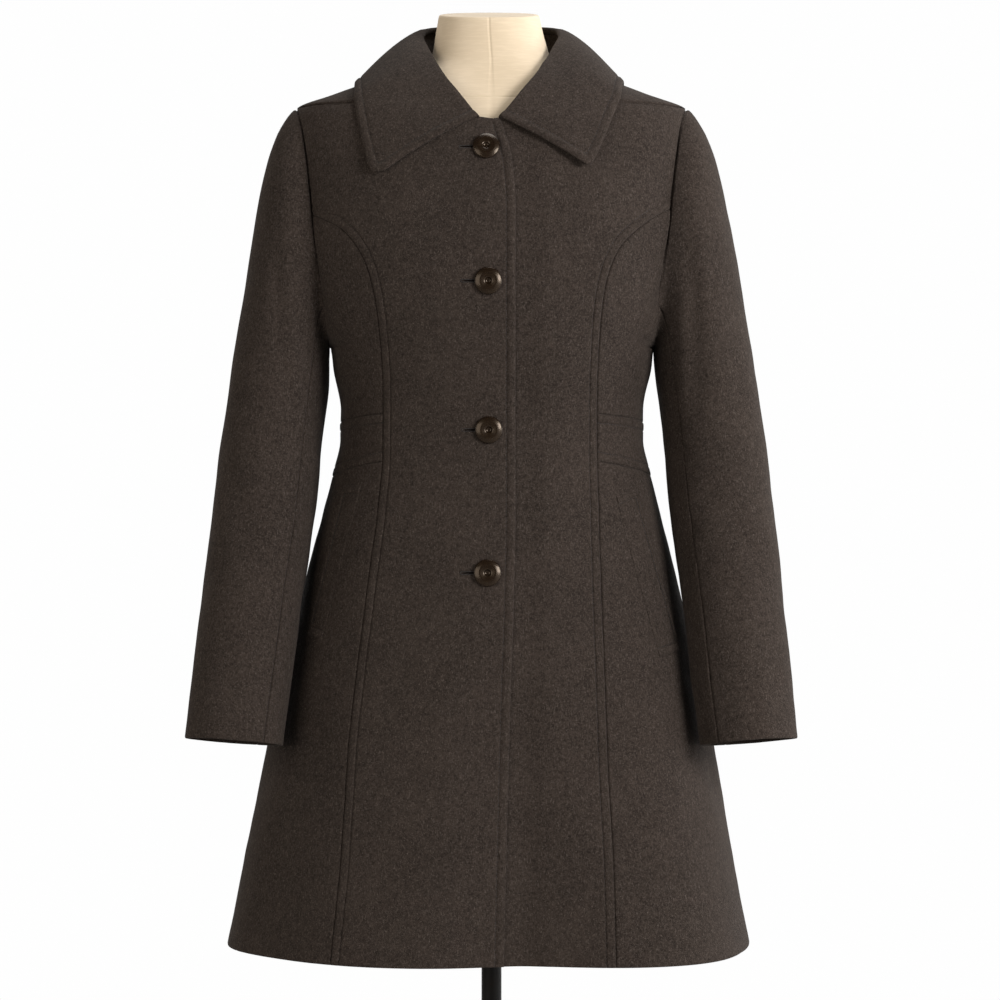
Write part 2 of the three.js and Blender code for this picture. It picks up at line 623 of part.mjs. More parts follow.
// Point of a sleeve: at counts the rings, turn goes from the shoulder over the front.
function sleevePoint(side, at, turn) {
  const ring = Object.fromEntries(Object.entries(ringColumn).map(([key, f]) => [key, f(at)]));
  const lean = side * 1.5 * smooth(at, 3, 9) * (1 - smooth(at, 14, 19));
  const c = Math.cos(turn);
  const s = Math.sin(turn);
  let x = lerp(ring.ix, ring.ox, (1 + c) / 2) + lean;
  let y = ring.y - s * ring.deep;
  const z = lerp(ring.iz, ring.oz, (1 + c) / 2) + (s * ring.drop) / 2;
  if (ring.round < 1) {
    // The first rings grow out of the armhole seam.
    const armZ = Math.min(SHOULDER_TIP - 0.01, Math.max(UNDERARM + 0.01, z));
    const hole = bodyPoint(armholeAngle(armZ, 1, s < 0), armZ).y;
    x = lerp(armholeX(armZ) + SEAM_GAP, x, ring.round);
    y = lerp(hole, y, ring.round);
  }
  return new THREE.Vector3(side * x, y, z);
}

function sleevePiece(side, fromTurn, toTurn, across) {
  const outer = [];
  const inner = [];
  const surface = (turn, at) => sleevePoint(side, at, turn);
  const inset = SEAM_GAP / 2 / 55;
  const last = SLEEVE.length - 1;
  for (let i = 0; i <= last; i += 1) {
    const outerRow = [];
    const innerRow = [];
    for (let c = 0; c <= across; c += 1) {
      const turn = lerp(fromTurn + inset, toTurn - inset, c / across);
      const at = Math.min(last - 0.02, Math.max(0.02, i));
      const normal = normalOf(surface, turn, at, 0.004, 0.02).multiplyScalar(side);
      const point = surface(turn, i);
      // Beside the armhole the wall thickens away from the body, never into it.
      if (i === 0 || Math.abs(point.x) < 176) normal.x = side * Math.min(0, side * normal.x);
      outerRow.push(point);
      innerRow.push(point.clone().addScaledVector(normal.normalize(), -CLOTH));
    }
    outer.push(outerRow);
    inner.push(innerRow);
  }
  return wallSolid(outer, inner);
}

// Distance of a point from the body cloth, and the way straight out of it.
function awayFromBody(p) {
  const level = (x, y, z) => {
    const depth = y < 0 ? bodyFront(z) : bodyBack(z);
    const a = Math.abs((x - bodyMid(z)) / bodyHalf(z)) ** SLICE_POWER;
    return (a + Math.abs(y / depth) ** SLICE_POWER) ** (1 / SLICE_POWER) - 1;
  };
  const e = 0.5;
  const out = new THREE.Vector3(
    level(p.x + e, p.y, p.z) - level(p.x - e, p.y, p.z),
    level(p.x, p.y + e, p.z) - level(p.x, p.y - e, p.z),
    level(p.x, p.y, p.z + e) - level(p.x, p.y, p.z - e),
  ).divideScalar(2 * e);
  const steep = out.length();
  return { distance: level(p.x, p.y, p.z) / steep, out: out.divideScalar(steep) };
}

function pushTo(p, wanted, onlyOut) {
  for (let i = 0; i < 6; i += 1) {
    const { distance, out } = awayFromBody(p);
    if (onlyOut && distance >= wanted) return p;
    p.addScaledVector(out, (wanted - distance) * 0.8);
  }
  return p;
}

[COLLAR_LEFT, COLLAR_RIGHT].forEach((table) => {
  table.forEach((row, i) => {
    row.at = i / (table.length - 1);
  });
});

function collarStation(table, at) {
  const get = (key) => column(table, 'at', key)(at);
  const roll = new THREE.Vector3(get('rx'), get('ry'), get('rz'));
  const bulge = new THREE.Vector3(get('mx'), get('my'), get('mz'));
  const edge = pushTo(new THREE.Vector3(get('ex'), get('ey'), get('ez')), get('off'), false);
  return { curve: new THREE.QuadraticBezierCurve3(roll, bulge, edge), roll, off: get('off') };
}

function collarPoint(table, at, down) {
  const station = collarStation(table, at);
  const p = station.curve.getPoint(down);
  return pushTo(p, lerp(COLLAR_CLEAR, station.off, down * down), true);
}

// The turned-down fall of the collar, one wall from point to point round the back of the neck.
function collarFall() {
  const stations = [];
  for (let i = 0; i <= 13; i += 1) stations.push([COLLAR_LEFT, i / 13]);
  for (let i = 12; i >= 0; i -= 1) stations.push([COLLAR_RIGHT, i / 13]);
  const downs = [0, 0.07, 0.18, 0.34, 0.52, 0.7, 0.86, 1];
  const outer = stations.map(([table, at]) => downs.map((d) => collarPoint(table, at, d)));
  return wallSolid(outer, insideOf(outer, -COLLAR_CLOTH));
}

// Second face of a wall, a given distance behind the first, from the grid's own normals.
function insideOf(grid, thick) {
  const clampRow = (r) => grid[Math.min(grid.length - 1, Math.max(0, r))];
  return grid.map((row, r) =>
    row.map((p, c) => {
      const left = row[Math.max(0, c - 1)];
      const right = row[Math.min(row.length - 1, c + 1)];
      const along = clampRow(r + 1)[c].clone().sub(clampRow(r - 1)[c]);
      const normal = along.cross(right.clone().sub(left)).normalize();
      return p.clone().addScaledVector(normal, thick);
    }),
  );
}

// The collar stand rises from the neckline and ends just under the roll of the fall.
function collarStand() {
  const half = (side, table) => {
    const surface = (at, down) => collarPoint(table, at, down);
    const rows = [];
    for (let i = 4; i <= 13; i += 1) {
      const at = i / 13;
      const out = normalOf(surface, Math.min(at, 0.99), 0.03, 0.01, 0.02).multiplyScalar(-side);
      const top = surface(at, 0).addScaledVector(out, -(COLLAR_CLOTH + 0.4));
      rows.push({ foot: standFoot(side, at), top: top.add(new THREE.Vector3(0, 0, -0.1)) });
    }
    return rows;
  };
  const left = half(-1, COLLAR_LEFT);
  const right = half(1, COLLAR_RIGHT).reverse().slice(1);
  const outer = [...left, ...right].map(({ foot, top }) => {
    const row = [];
    for (let c = 0; c <= 3; c += 1) row.push(foot.clone().lerp(top, c / 3));
    return row;
  });
  return wallSolid(outer, insideOf(outer, STAND_CLOTH));
}

// Foot of the stand: a hair above the cloth, along the neckline.
function standFoot(side, at) {
  const x = side * column(STAND_FEET, 'at', 'x')(at);
  const y = column(STAND_FEET, 'at', 'y')(at);
  const z = column(STAND_FEET, 'at', 'z')(at);
  return pushTo(new THREE.Vector3(x, y, z), column(STAND_FEET, 'at', 'off')(at), false);
}

// Round solid from a profile of radius and height, with the axis along Z.
function turned(profile, segments) {
  const points = profile.map(([r, z]) => new THREE.Vector2(r, z));
  const lathe = new THREE.LatheGeometry(points, segments);
  lathe.rotateX(Math.PI / 2);
  lathe.deleteAttribute('normal');
  lathe.deleteAttribute('uv');
  return faceOut(mergeVertices(lathe, 1e-4));
}

// A manifold solid of a closed geometry.
function solid(geometry) {
  const plain = geometry.clone();
  plain.deleteAttribute('normal');
  plain.deleteAttribute('uv');
  const merged = mergeVertices(plain, 1e-4);
  return new wasm.Manifold(
    new wasm.Mesh({
      numProp: 3,
      vertProperties: merged.getAttribute('position').array,
      triVerts: new Uint32Array(merged.getIndex().array),
    }),
  );
}

function geometryOf(made) {
  const mesh = made.getMesh();
  const geometry = new THREE.BufferGeometry();
  geometry.setAttribute('position', new THREE.BufferAttribute(mesh.vertProperties, 3));
  geometry.setIndex(new THREE.BufferAttribute(mesh.triVerts, 1));
  geometry.computeVertexNormals();
  return geometry;
}

// Frame of a button: its place on the over front and the way out of the cloth.
function buttonPlace(b) {
  const angle = angleAt(b.x, b.z, false);
  const out = bodyNormal(angle, b.z);
  const turn = new THREE.Quaternion().setFromUnitVectors(new THREE.Vector3(0, 0, 1), out);
  return { at: bodyPoint(angle, b.z), turn };
}

// Long slit with a round eyelet, running to the wearer's right of the button.
function buttonholeCutter(b) {
  const { at } = buttonPlace(b);
  const slit = new THREE.BoxGeometry(BUTTONHOLE_LONG, 24, BUTTONHOLE_TALL);
  slit.translate(at.x - BUTTONHOLE_LONG / 2, at.y, at.z);
  const eyelet = new THREE.CylinderGeometry(EYELET_WIDTH / 2, EYELET_WIDTH / 2, 24, 12);
  eyelet.translate(at.x, at.y, at.z);
  return solid(slit).add(solid(eyelet));
}

function frontWithButtonholes() {
  let made = solid(frontPanel(-1));
  for (const b of BUTTONS) made = made.subtract(buttonholeCutter(b));
  return geometryOf(made);
}

// Button with a raised rim, a sunk ring and a shank on its back.
function button() {
  const r = BUTTON_WIDTH / 2;
  const shank = SHANK_WIDTH / 2;
  const foot = -(LAP_STEP - 0.4);
  return turned(
    [
      [0, foot],
      [shank, foot],
      [shank, 0.5],
      [r * 0.72, 0.5],
      [r * 0.95, 1.6],
      [r, 2.9],
      [r * 0.95, 4.1],
      [r * 0.84, BUTTON_THICK],
      [r * 0.7, 4.5],
      [r * 0.6, 3.5],
      [r * 0.2, 3.3],
      [r * 0.12, 2.7],
      [0, 2.6],
    ],
    14,
  );
}

// The form is one closed loft of level slices; its neck top leans forward.
function formBody() {
  const around = 28;
  const value = (key) => column(FORM, 'z', key);
  const mid = value('mid');
  const half = value('half');
  const front = value('front');
  const back = value('back');
  const lean = value('lean');
  const heights = [];
  FORM.forEach((row, i) => {
    heights.push(row.z);
    if (i + 1 < FORM.length && FORM[i + 1].z - row.z > 45) heights.push((row.z + FORM[i + 1].z) / 2);
  });
  const points = [];
  for (const z of heights) {
    for (let i = 0; i < around; i += 1) {
      const angle = (i / around) * 2 * Math.PI;
      const s = Math.sin(angle);
      const c = Math.cos(angle);
      const y = -Math.sign(c) * Math.abs(c) ** (2 / SLICE_POWER) * (c > 0 ? front(z) : back(z));
      const x = mid(z) + Math.sign(s) * Math.abs(s) ** (2 / SLICE_POWER) * half(z);
      points.push(new THREE.Vector3(x, y, z + lean(z) * y));
    }
  }
  const index = [];
  for (let r = 0; r < heights.length - 1; r += 1) {
    for (let i = 0; i < around; i += 1) {
      const a = r * around + i;
      const b = r * around + ((i + 1) % around);
      index.push(a, b, b + around, a, b + around, a + around);
    }
  }
  const foot = points.length;
  points.push(new THREE.Vector3(0, 0, heights[0]));
  const crown = points.length;
  points.push(new THREE.Vector3(mid(1455), 4, heights[heights.length - 1] + 0.2 * 4 + 0.5));
  const top = (heights.length - 1) * around;
  for (let i = 0; i < around; i += 1) {
    const next = (i + 1) % around;
    index.push(foot, next, i, crown, top + i, top + next);
  }
  const geometry = new THREE.BufferGeometry().setFromPoints(points);
  geometry.setIndex(index);
  return faceOut(geometry);
}

// Round base with a boss that takes the pole.
function standBase() {
  const r = BASE_WIDTH / 2;
  const bore = POLE_WIDTH / 2 + 0.3;
  return turned(
    [
      [0, 0],
      [r - 1.5, 0],
      [r, 1.5],
      [r, BASE_THICK - 5],
      [r - 5, BASE_THICK],
      [BOSS_WIDTH / 2 + 3, BASE_THICK + 1],
      [BOSS_WIDTH / 2, BASE_THICK + 4],
      [BOSS_WIDTH / 2 - 2, BOSS_HEIGHT],
      [bore, BOSS_HEIGHT],
      [bore, BASE_THICK],
      [0, BASE_THICK],
    ],
    28,
  );
}

function pole() {
  const r = POLE_WIDTH / 2;
  return turned([[0, BASE_THICK + 0.3], [r, BASE_THICK + 0.3], [r, FORM_FOOT - 0.3], [0, FORM_FOOT - 0.3]], 20);
}

function mesh(name, geometry, look) {
  const made = new THREE.Mesh(geometry, look);
  made.name = name;
  return made;
}

const coat = new THREE.Group();
const wool = (side) => material(side < 0 ? COAT_LEFT_COLOUR : COAT_RIGHT_COLOUR, 0.95, 0);
coat.add(mesh('front_right', frontWithButtonholes(), wool(-1)));
coat.add(mesh('front_left', frontPanel(1), wool(1)));
for (const side of [-1, 1]) {
  const worn = side < 0 ? 'right' : 'left';
  coat.add(mesh(`side_front_chest_${worn}`, sidePiece(side, false, 'chest'), wool(side)));
  coat.add(mesh(`side_front_skirt_${worn}`, sidePiece(side, false, 'skirt'), wool(side)));
  coat.add(mesh(`waist_band_front_${worn}`, sidePiece(side, false, 'band'), wool(side)));
  coat.add(mesh(`side_back_chest_${worn}`, sidePiece(side, true, 'chest'), wool(side)));
  coat.add(mesh(`side_back_skirt_${worn}`, sidePiece(side, true, 'skirt'), wool(side)));
  coat.add(mesh(`waist_band_back_${worn}`, sidePiece(side, true, 'band'), wool(side)));
  coat.add(mesh(`back_${worn}`, backPanel(side), wool(side)));
  const forearm = rad(FOREARM_SEAM);
  const hindarm = rad(HINDARM_SEAM);
  coat.add(mesh(`upper_sleeve_${worn}`, sleevePiece(side, hindarm - 2 * Math.PI, forearm, 11), wool(side)));
  coat.add(mesh(`under_sleeve_${worn}`, sleevePiece(side, forearm, hindarm, 5), wool(side)));
}
for (const w of WELTS) coat.add(mesh(w.name, welt(w), wool(w.inX[0])));
coat.add(mesh('collar_stand', collarStand(), wool(-1)));
coat.add(mesh('collar_fall', collarFall(), wool(-1)));
for (const b of BUTTONS) {
  const { at, turn } = buttonPlace(b);
  const made = mesh(b.name, button(), material(BUTTON_COLOUR, 0.25, 0));
  made.position.copy(at);
  made.quaternion.copy(turn);
  coat.add(made);
}

const stand = new THREE.Group();
stand.add(mesh('form_body', formBody(), material(MUSLIN_COLOUR, 0.85, 0)));
stand.add(mesh('pole', pole(), material(BLACK_COLOUR, 0.35, 0.6)));
stand.add(mesh('stand_base', standBase(), material(BLACK_COLOUR, 0.4, 0.5)));

const dressed = new THREE.Group();
dressed.add(coat);
dressed.add(stand);
export default dressed;
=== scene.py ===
import math

import bmesh
import bpy
import numpy as np
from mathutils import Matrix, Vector
from mathutils.kdtree import KDTree


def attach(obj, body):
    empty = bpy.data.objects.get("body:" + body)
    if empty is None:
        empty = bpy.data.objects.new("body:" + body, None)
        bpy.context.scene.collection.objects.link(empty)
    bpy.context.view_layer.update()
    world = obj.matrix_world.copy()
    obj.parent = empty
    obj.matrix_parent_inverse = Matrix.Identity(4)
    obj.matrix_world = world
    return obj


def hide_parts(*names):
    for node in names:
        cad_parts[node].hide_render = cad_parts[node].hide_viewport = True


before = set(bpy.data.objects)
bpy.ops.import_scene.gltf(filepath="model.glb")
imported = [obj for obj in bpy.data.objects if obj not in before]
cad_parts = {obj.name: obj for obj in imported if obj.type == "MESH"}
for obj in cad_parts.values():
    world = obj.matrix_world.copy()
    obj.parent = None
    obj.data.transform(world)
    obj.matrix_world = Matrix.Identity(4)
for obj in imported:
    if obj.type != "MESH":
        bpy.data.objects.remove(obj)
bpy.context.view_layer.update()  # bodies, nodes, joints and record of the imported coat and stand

bl_info = {
    "name": "Wool Coat on a Dress Form",
    "version": (1, 0, 0),
    "blender": (4, 5, 0),
    "location": "View3D > Sidebar > Coat",
    "description": "Cuts and sews a princess-seamed wool coat over a dress form, in metres",
    "category": "Add Mesh",
}

# The coat faces -Y and +X is on the viewer's right. Right and left in the names of pieces and of the
# sleeve creases are the wearer's, and in the other names they are the viewer's.
BODY_NAME = "root"
CAMERA_PLACE = (0.0085, -3.0, 0.970)

# Cloth and seams, as the solids have them.
CLOTH = 0.0026
LAP_STEP = CLOTH + 0.0006
BAND_PROUD = 0.0003
WELT_LIFT = 0.0014
WELT_THICK = 0.0006
COLLAR_CLOTH = 0.0028
STAND_CLOTH = 0.0022
COLLAR_CLEAR = 0.0035
HALF_SEAM = 0.00002
SLICE_POWER = 2.15
# Height of the slow and of the fine unevenness of cloth.
UNEVEN_SLOW = 0.0005
UNEVEN_FINE = 0.0002

# Level slices of the closed body cloth: height, middle, half width, depth to the front and back.
BODY = [
    (0.529, -0.0032, 0.2605, 0.182, 0.172),
    (0.6, -0.0028, 0.246, 0.169, 0.161),
    (0.68, -0.0016, 0.231, 0.156, 0.15),
    (0.77, -0.0002, 0.213, 0.143, 0.139),
    (0.86, 0, 0.192, 0.131, 0.129),
    (0.92, 0, 0.178, 0.1245, 0.122),
    (0.96, 0, 0.1676, 0.119, 0.114),
    (1, 0.0003, 0.157, 0.114, 0.104),
    (1.03, 0.0003, 0.151, 0.1115, 0.098),
    (1.06, 0.0003, 0.151, 0.112, 0.097),
    (1.1, 0.0003, 0.1585, 0.119, 0.103),
    (1.121, 0, 0.1615, 0.123, 0.106),
    (1.135, 0, 0.17, 0.125, 0.108),
    (1.162, 0, 0.178, 0.128, 0.111),
    (1.206, 0, 0.186, 0.128, 0.113),
    (1.238, 0, 0.1905, 0.124, 0.113),
    (1.269, 0, 0.194, 0.117, 0.112),
    (1.297, 0, 0.1965, 0.109, 0.109),
    (1.325, 0, 0.199, 0.099, 0.104),
    (1.349, 0, 0.1995, 0.087, 0.096),
    (1.36, 0, 0.195, 0.08, 0.091),
    (1.375, 0, 0.1538, 0.071, 0.083),
    (1.39, 0, 0.1126, 0.062, 0.074),
    (1.405, 0, 0.0714, 0.054, 0.064),
    (1.411, 0, 0.058, 0.051, 0.061),
    (1.43, -0.001, 0.048, 0.04, 0.05),
    (1.48, -0.001, 0.044, 0.036, 0.048),
]
# Distance of the armhole seam from the middle, by height.
ARMHOLE = [
    (1.121, 0.1615),
    (1.162, 0.1657),
    (1.206, 0.17),
    (1.238, 0.1745),
    (1.269, 0.1777),
    (1.297, 0.181),
    (1.325, 0.185),
    (1.349, 0.1907),
    (1.36, 0.195),
]
# Princess seams of the front, for the viewer's left and right, and of the back.
PRINCESS_LEFT = [
    (0.529, -0.1517),
    (0.566, -0.1478),
    (0.623, -0.1426),
    (0.681, -0.1392),
    (0.739, -0.1358),
    (0.813, -0.1286),
    (0.971, -0.1091),
    (1.008, -0.1059),
    (1.083, -0.1053),
    (1.114, -0.107),
    (1.145, -0.1097),
    (1.173, -0.114),
    (1.196, -0.1203),
    (1.217, -0.1312),
    (1.2355, -0.1483),
    (1.25, -0.1753),
]
PRINCESS_RIGHT = [
    (0.529, 0.1125),
    (0.624, 0.1113),
    (0.723, 0.1084),
    (0.845, 0.1068),
    (0.955, 0.105),
    (1.012, 0.1034),
    (1.083, 0.1033),
    (1.114, 0.105),
    (1.145, 0.1067),
    (1.176, 0.1105),
    (1.195, 0.1155),
    (1.215, 0.1253),
    (1.229, 0.1382),
    (1.242, 0.154),
    (1.256, 0.176),
]
PRINCESS_BACK = [
    (0.529, 0.128),
    (0.7, 0.112),
    (0.86, 0.094),
    (0.96, 0.082),
    (1.03, 0.077),
    (1.1, 0.082),
    (1.17, 0.095),
    (1.215, 0.112),
    (1.24, 0.131),
    (1.258, 0.1764),
]
# Front edge and neckline of the over front and of the under front, then the back neckline.
OVER_EDGE = [
    (0.529, 0.0136),
    (0.798, 0.0196),
    (0.855, 0.0215),
    (0.97, 0.0235),
    (1.258, 0.0235),
    (1.294, 0.0207),
    (1.31, 0.0179),
    (1.33, 0.0121),
    (1.3395, 0.0082),
    (1.343, -0.012),
    (1.350, -0.027),
    (1.36, -0.043),
    (1.377, -0.057),
    (1.394, -0.067),
    (1.405, -0.071),
]
UNDER_EDGE = [
    (0.529, -0.024),
    (0.97, -0.024),
    (1.29, -0.022),
    (1.33, -0.012),
    (1.3395, -0.005),
    (1.343, 0.011),
    (1.350, 0.026),
    (1.36, 0.042),
    (1.377, 0.056),
    (1.394, 0.066),
    (1.405, 0.0705),
]
BACK_NECK = [
    (1.3975, 0),
    (1.399, 0.026),
    (1.401, 0.048),
    (1.403, 0.061),
    (1.405, 0.0705),
]
# Hanging flutes of the skirt: direction round the body in degrees, breadth, how far out at the hem.
FLUTES = [
    (42, 22, 0.024),
    (8, 13, -0.017),
    (-22, 15, 0.004),
    (-55, 14, -0.004),
    (128, 15, 0.013),
    (158, 12, -0.009),
    (184, 13, 0.009),
    (212, 13, -0.008),
    (236, 15, 0.011),
]
# Heights of the hem, of the top of the flutes and of the seams that close the panels.
HEM = 0.529
FLUTE_TOP = 0.930
BAND_FRONT = (1.008, 1.054)
BAND_SIDE = (0.993, 1.047)
BAND_BACK = (1.002, 1.050)
UNDERARM = 1.121
SHOULDER_TIP = 1.360
MEET_LEFT = 1.250
MEET_RIGHT = 1.256
MEET_BACK = 1.258
# Sleeve rings from the armhole to the cuff: outer and inner end (x, z), middle in depth, half depth,
# how far the back hangs down, and the share of ellipse.
SLEEVE = [
    (0.1955, 1.36, 0.162, 1.121, 0, 0.058, 0, 0),
    (0.202, 1.3585, 0.1621, 1.1185, 0, 0.059, 0, 0.35),
    (0.2085, 1.353, 0.1622, 1.1155, 0, 0.06, 0, 0.6),
    (0.2135, 1.3435, 0.1624, 1.112, 0, 0.061, 0, 0.8),
    (0.217, 1.331, 0.1626, 1.108, 0, 0.062, 0, 0.95),
    (0.2235, 1.309, 0.1628, 1.102, 0, 0.063, 0, 1),
    (0.231, 1.279, 0.1632, 1.094, 0, 0.064, 0, 1),
    (0.238, 1.24, 0.1638, 1.085, 0, 0.064, 0, 1),
    (0.245, 1.198, 0.1648, 1.074, -0.002, 0.064, 0, 1),
    (0.2515, 1.156, 0.1664, 1.06, -0.004, 0.063, 0.001, 1),
    (0.258, 1.115, 0.1684, 1.042, -0.007, 0.062, 0.001, 1),
    (0.264, 1.073, 0.1706, 1.019, -0.011, 0.061, 0.002, 1),
    (0.2695, 1.031, 0.1724, 0.993, -0.018, 0.06, 0.002, 1),
    (0.2745, 0.989, 0.1746, 0.966, -0.025, 0.058, 0.003, 1),
    (0.2788, 0.948, 0.178, 0.936, -0.034, 0.056, 0.004, 1),
    (0.2826, 0.907, 0.1824, 0.902, -0.044, 0.054, 0.005, 1),
    (0.2863, 0.865, 0.1874, 0.864, -0.055, 0.051, 0.006, 1),
    (0.2898, 0.822, 0.192, 0.821, -0.067, 0.048, 0.007, 1),
    (0.2936, 0.779, 0.197, 0.775, -0.079, 0.045, 0.009, 1),
    (0.297, 0.739, 0.202, 0.732, -0.091, 0.0425, 0.011, 1),
]
# Seam allowance of the armhole: how far it runs under the panels, how deep it lies, its thickness.
ALLOWANCE = 0.008
ALLOWANCE_SUNK = 0.0030
ALLOWANCE_THICK = 0.0012
# Directions of the two sleeve seams, round from the shoulder over the front.
FOREARM_SEAM = math.radians(132)
HINDARM_SEAM = math.radians(245)
# Leaves of the collar from the centre front to the centre back: roll line, bulge, outer edge, and
# how far the edge stands off the body cloth.
COLLAR_LEFT = [
    (-0.013, -0.093, 1.342, -0.058, -0.1, 1.319, -0.106, -0.098, 1.284, 0.0070),
    (-0.021, -0.09, 1.351, -0.064, -0.098, 1.328, -0.1145, -0.093, 1.289, 0.0066),
    (-0.034, -0.082, 1.367, -0.076, -0.088, 1.345, -0.1215, -0.084, 1.31, 0.0052),
    (-0.048, -0.067, 1.386, -0.088, -0.076, 1.368, -0.128, -0.072, 1.336, 0.0036),
    (-0.058, -0.044, 1.405, -0.092, -0.054, 1.399, -0.1325, -0.052, 1.362, 0.0036),
    (-0.066, -0.02, 1.422, -0.092, -0.024, 1.423, -0.135, -0.022, 1.379, 0.0036),
    (-0.071, 0.008, 1.437, -0.094, 0.01, 1.44, -0.136, 0.014, 1.383, 0.0036),
    (-0.068, 0.034, 1.446, -0.084, 0.044, 1.451, -0.125, 0.058, 1.378, 0.0036),
    (-0.052, 0.058, 1.451, -0.062, 0.075, 1.454, -0.092, 0.088, 1.373, 0.0036),
    (-0.027, 0.071, 1.453, -0.032, 0.092, 1.455, -0.046, 0.097, 1.371, 0.0036),
    (0, 0.075, 1.4535, 0, 0.098, 1.455, 0, 0.099, 1.37, 0.0036),
]
COLLAR_RIGHT = [
    (0.0085, -0.0935, 1.3415, 0.052, -0.101, 1.319, 0.0905, -0.101, 1.29, 0.0125),
    (0.019, -0.089, 1.353, 0.06, -0.098, 1.330, 0.0945, -0.099, 1.293, 0.0120),
    (0.032, -0.08, 1.369, 0.072, -0.088, 1.348, 0.106, -0.089, 1.3155, 0.0090),
    (0.046, -0.065, 1.388, 0.084, -0.076, 1.371, 0.1175, -0.075, 1.343, 0.0055),
    (0.056, -0.042, 1.406, 0.089, -0.054, 1.401, 0.126, -0.054, 1.364, 0.0042),
    (0.064, -0.02, 1.422, 0.09, -0.024, 1.424, 0.13, -0.024, 1.3805, 0.0036),
    (0.07, 0.008, 1.437, 0.093, 0.01, 1.44, 0.133, 0.014, 1.384, 0.0036),
    (0.068, 0.034, 1.446, 0.084, 0.044, 1.451, 0.124, 0.058, 1.378, 0.0036),
    (0.052, 0.058, 1.451, 0.062, 0.075, 1.454, 0.092, 0.088, 1.373, 0.0036),
    (0.027, 0.071, 1.453, 0.032, 0.092, 1.455, 0.046, 0.097, 1.371, 0.0036),
    (0, 0.075, 1.4535, 0, 0.098, 1.455, 0, 0.099, 1.37, 0.0036),
]
# Foot of the collar stand: share of the way round, place, and clearance.
STAND_FEET = [
    (0.2, 0.035, -0.074, 1.355, 0.0007),
    (0.3, 0.047, -0.063, 1.366, 0.0007),
    (0.4, 0.059, -0.046, 1.382, 0.0008),
    (0.5, 0.0685, -0.024, 1.3995, 0.0016),
    (0.6, 0.073, 0.005, 1.4065, 0.0014),
    (0.7, 0.068, 0.03, 1.404, 0.0009),
    (0.8, 0.052, 0.05, 1.402, 0.0007),
    (0.9, 0.027, 0.063, 1.4, 0.0007),
    (1, 0, 0.067, 1.399, 0.0007),
]
# The dress form: height, middle, half width, depth to the front and back, forward lean.
FORM = [
    (0.85, 0, 0.176, 0.12, 0.117, 0),
    (0.858, 0, 0.18, 0.123, 0.12, 0),
    (0.9, 0, 0.174, 0.119, 0.117, 0),
    (0.96, 0, 0.159, 0.111, 0.105, 0),
    (1, 0, 0.148, 0.106, 0.095, 0),
    (1.03, 0, 0.143, 0.104, 0.09, 0),
    (1.06, 0, 0.143, 0.104, 0.089, 0),
    (1.1, 0, 0.149, 0.11, 0.095, 0),
    (1.15, 0, 0.155, 0.117, 0.102, 0),
    (1.206, 0, 0.16, 0.118, 0.105, 0),
    (1.25, 0, 0.166, 0.112, 0.105, 0),
    (1.297, 0, 0.171, 0.099, 0.101, 0),
    (1.325, 0, 0.174, 0.089, 0.096, 0),
    (1.347, 0, 0.177, 0.078, 0.088, 0),
    (1.356, 0, 0.176, 0.073, 0.084, 0),
    (1.371, 0, 0.151, 0.063, 0.0755, 0),
    (1.386, 0, 0.11, 0.0545, 0.066, 0),
    (1.396, 0, 0.0825, 0.05, 0.061, 0),
    (1.403, 0, 0.0665, 0.0475, 0.058, 0),
    (1.411, -0.0005, 0.06, 0.0465, 0.0565, 0.02),
    (1.421, -0.001, 0.057, 0.046, 0.056, 0.06),
    (1.437, -0.002, 0.0535, 0.0455, 0.0555, 0.13),
    (1.455, -0.0025, 0.05, 0.045, 0.055, 0.2),
]

# How deep a seam sinks and how far from it the cloth rounds over.
SEAM_DIP = 0.0013
SEAM_ROUND = 0.0014
# The groove that topstitching draws into the cloth.
GROOVE_WIDTH = 0.0006
GROOVE_DEEP = 0.00115
# A fold swells more than a seam. It rounds over within a share of the cloth's thickness, and loses
# a share of half the thickness on each face.
FOLD_PUFF = 2.2
FOLD_ROLL = 0.85
FOLD_ROUND = 0.84
# The groove of topstitching on a fold, beside that of a seam: times as wide, and share as deep.
FOLD_GROOVE_WIDTH = 1.7
FOLD_GROOVE_DEEP = 0.55
# Where the swell between a seam and its stitching starts, is full, and ends before the stitching.
SWELL_START = 0.0002
SWELL_FULL = 0.0030
SWELL_END = 0.0032
SWELL_UNEVEN = 0.28
GROOVE_UNEVEN = 0.25
# Distances of the rows of points beside a stitched edge and beside a plain one.
BESIDE_STITCHED = (0, 0.0004, 0.0009, 0.0015, 0.0024, 0.0038, 0.0055, 0.0070, 0.0079, 0.0085,
                   0.0090, 0.0095, 0.0101, 0.0112, 0.0132, 0.0165)
BESIDE_PLAIN = (0, 0.0004, 0.0009, 0.0015, 0.0024, 0.0042, 0.0075, 0.0120)

# Radius at which a crease's direction round the body or a sleeve is turned into a distance.
BODY_RADIUS = 0.16
SLEEVE_RADIUS = 0.056
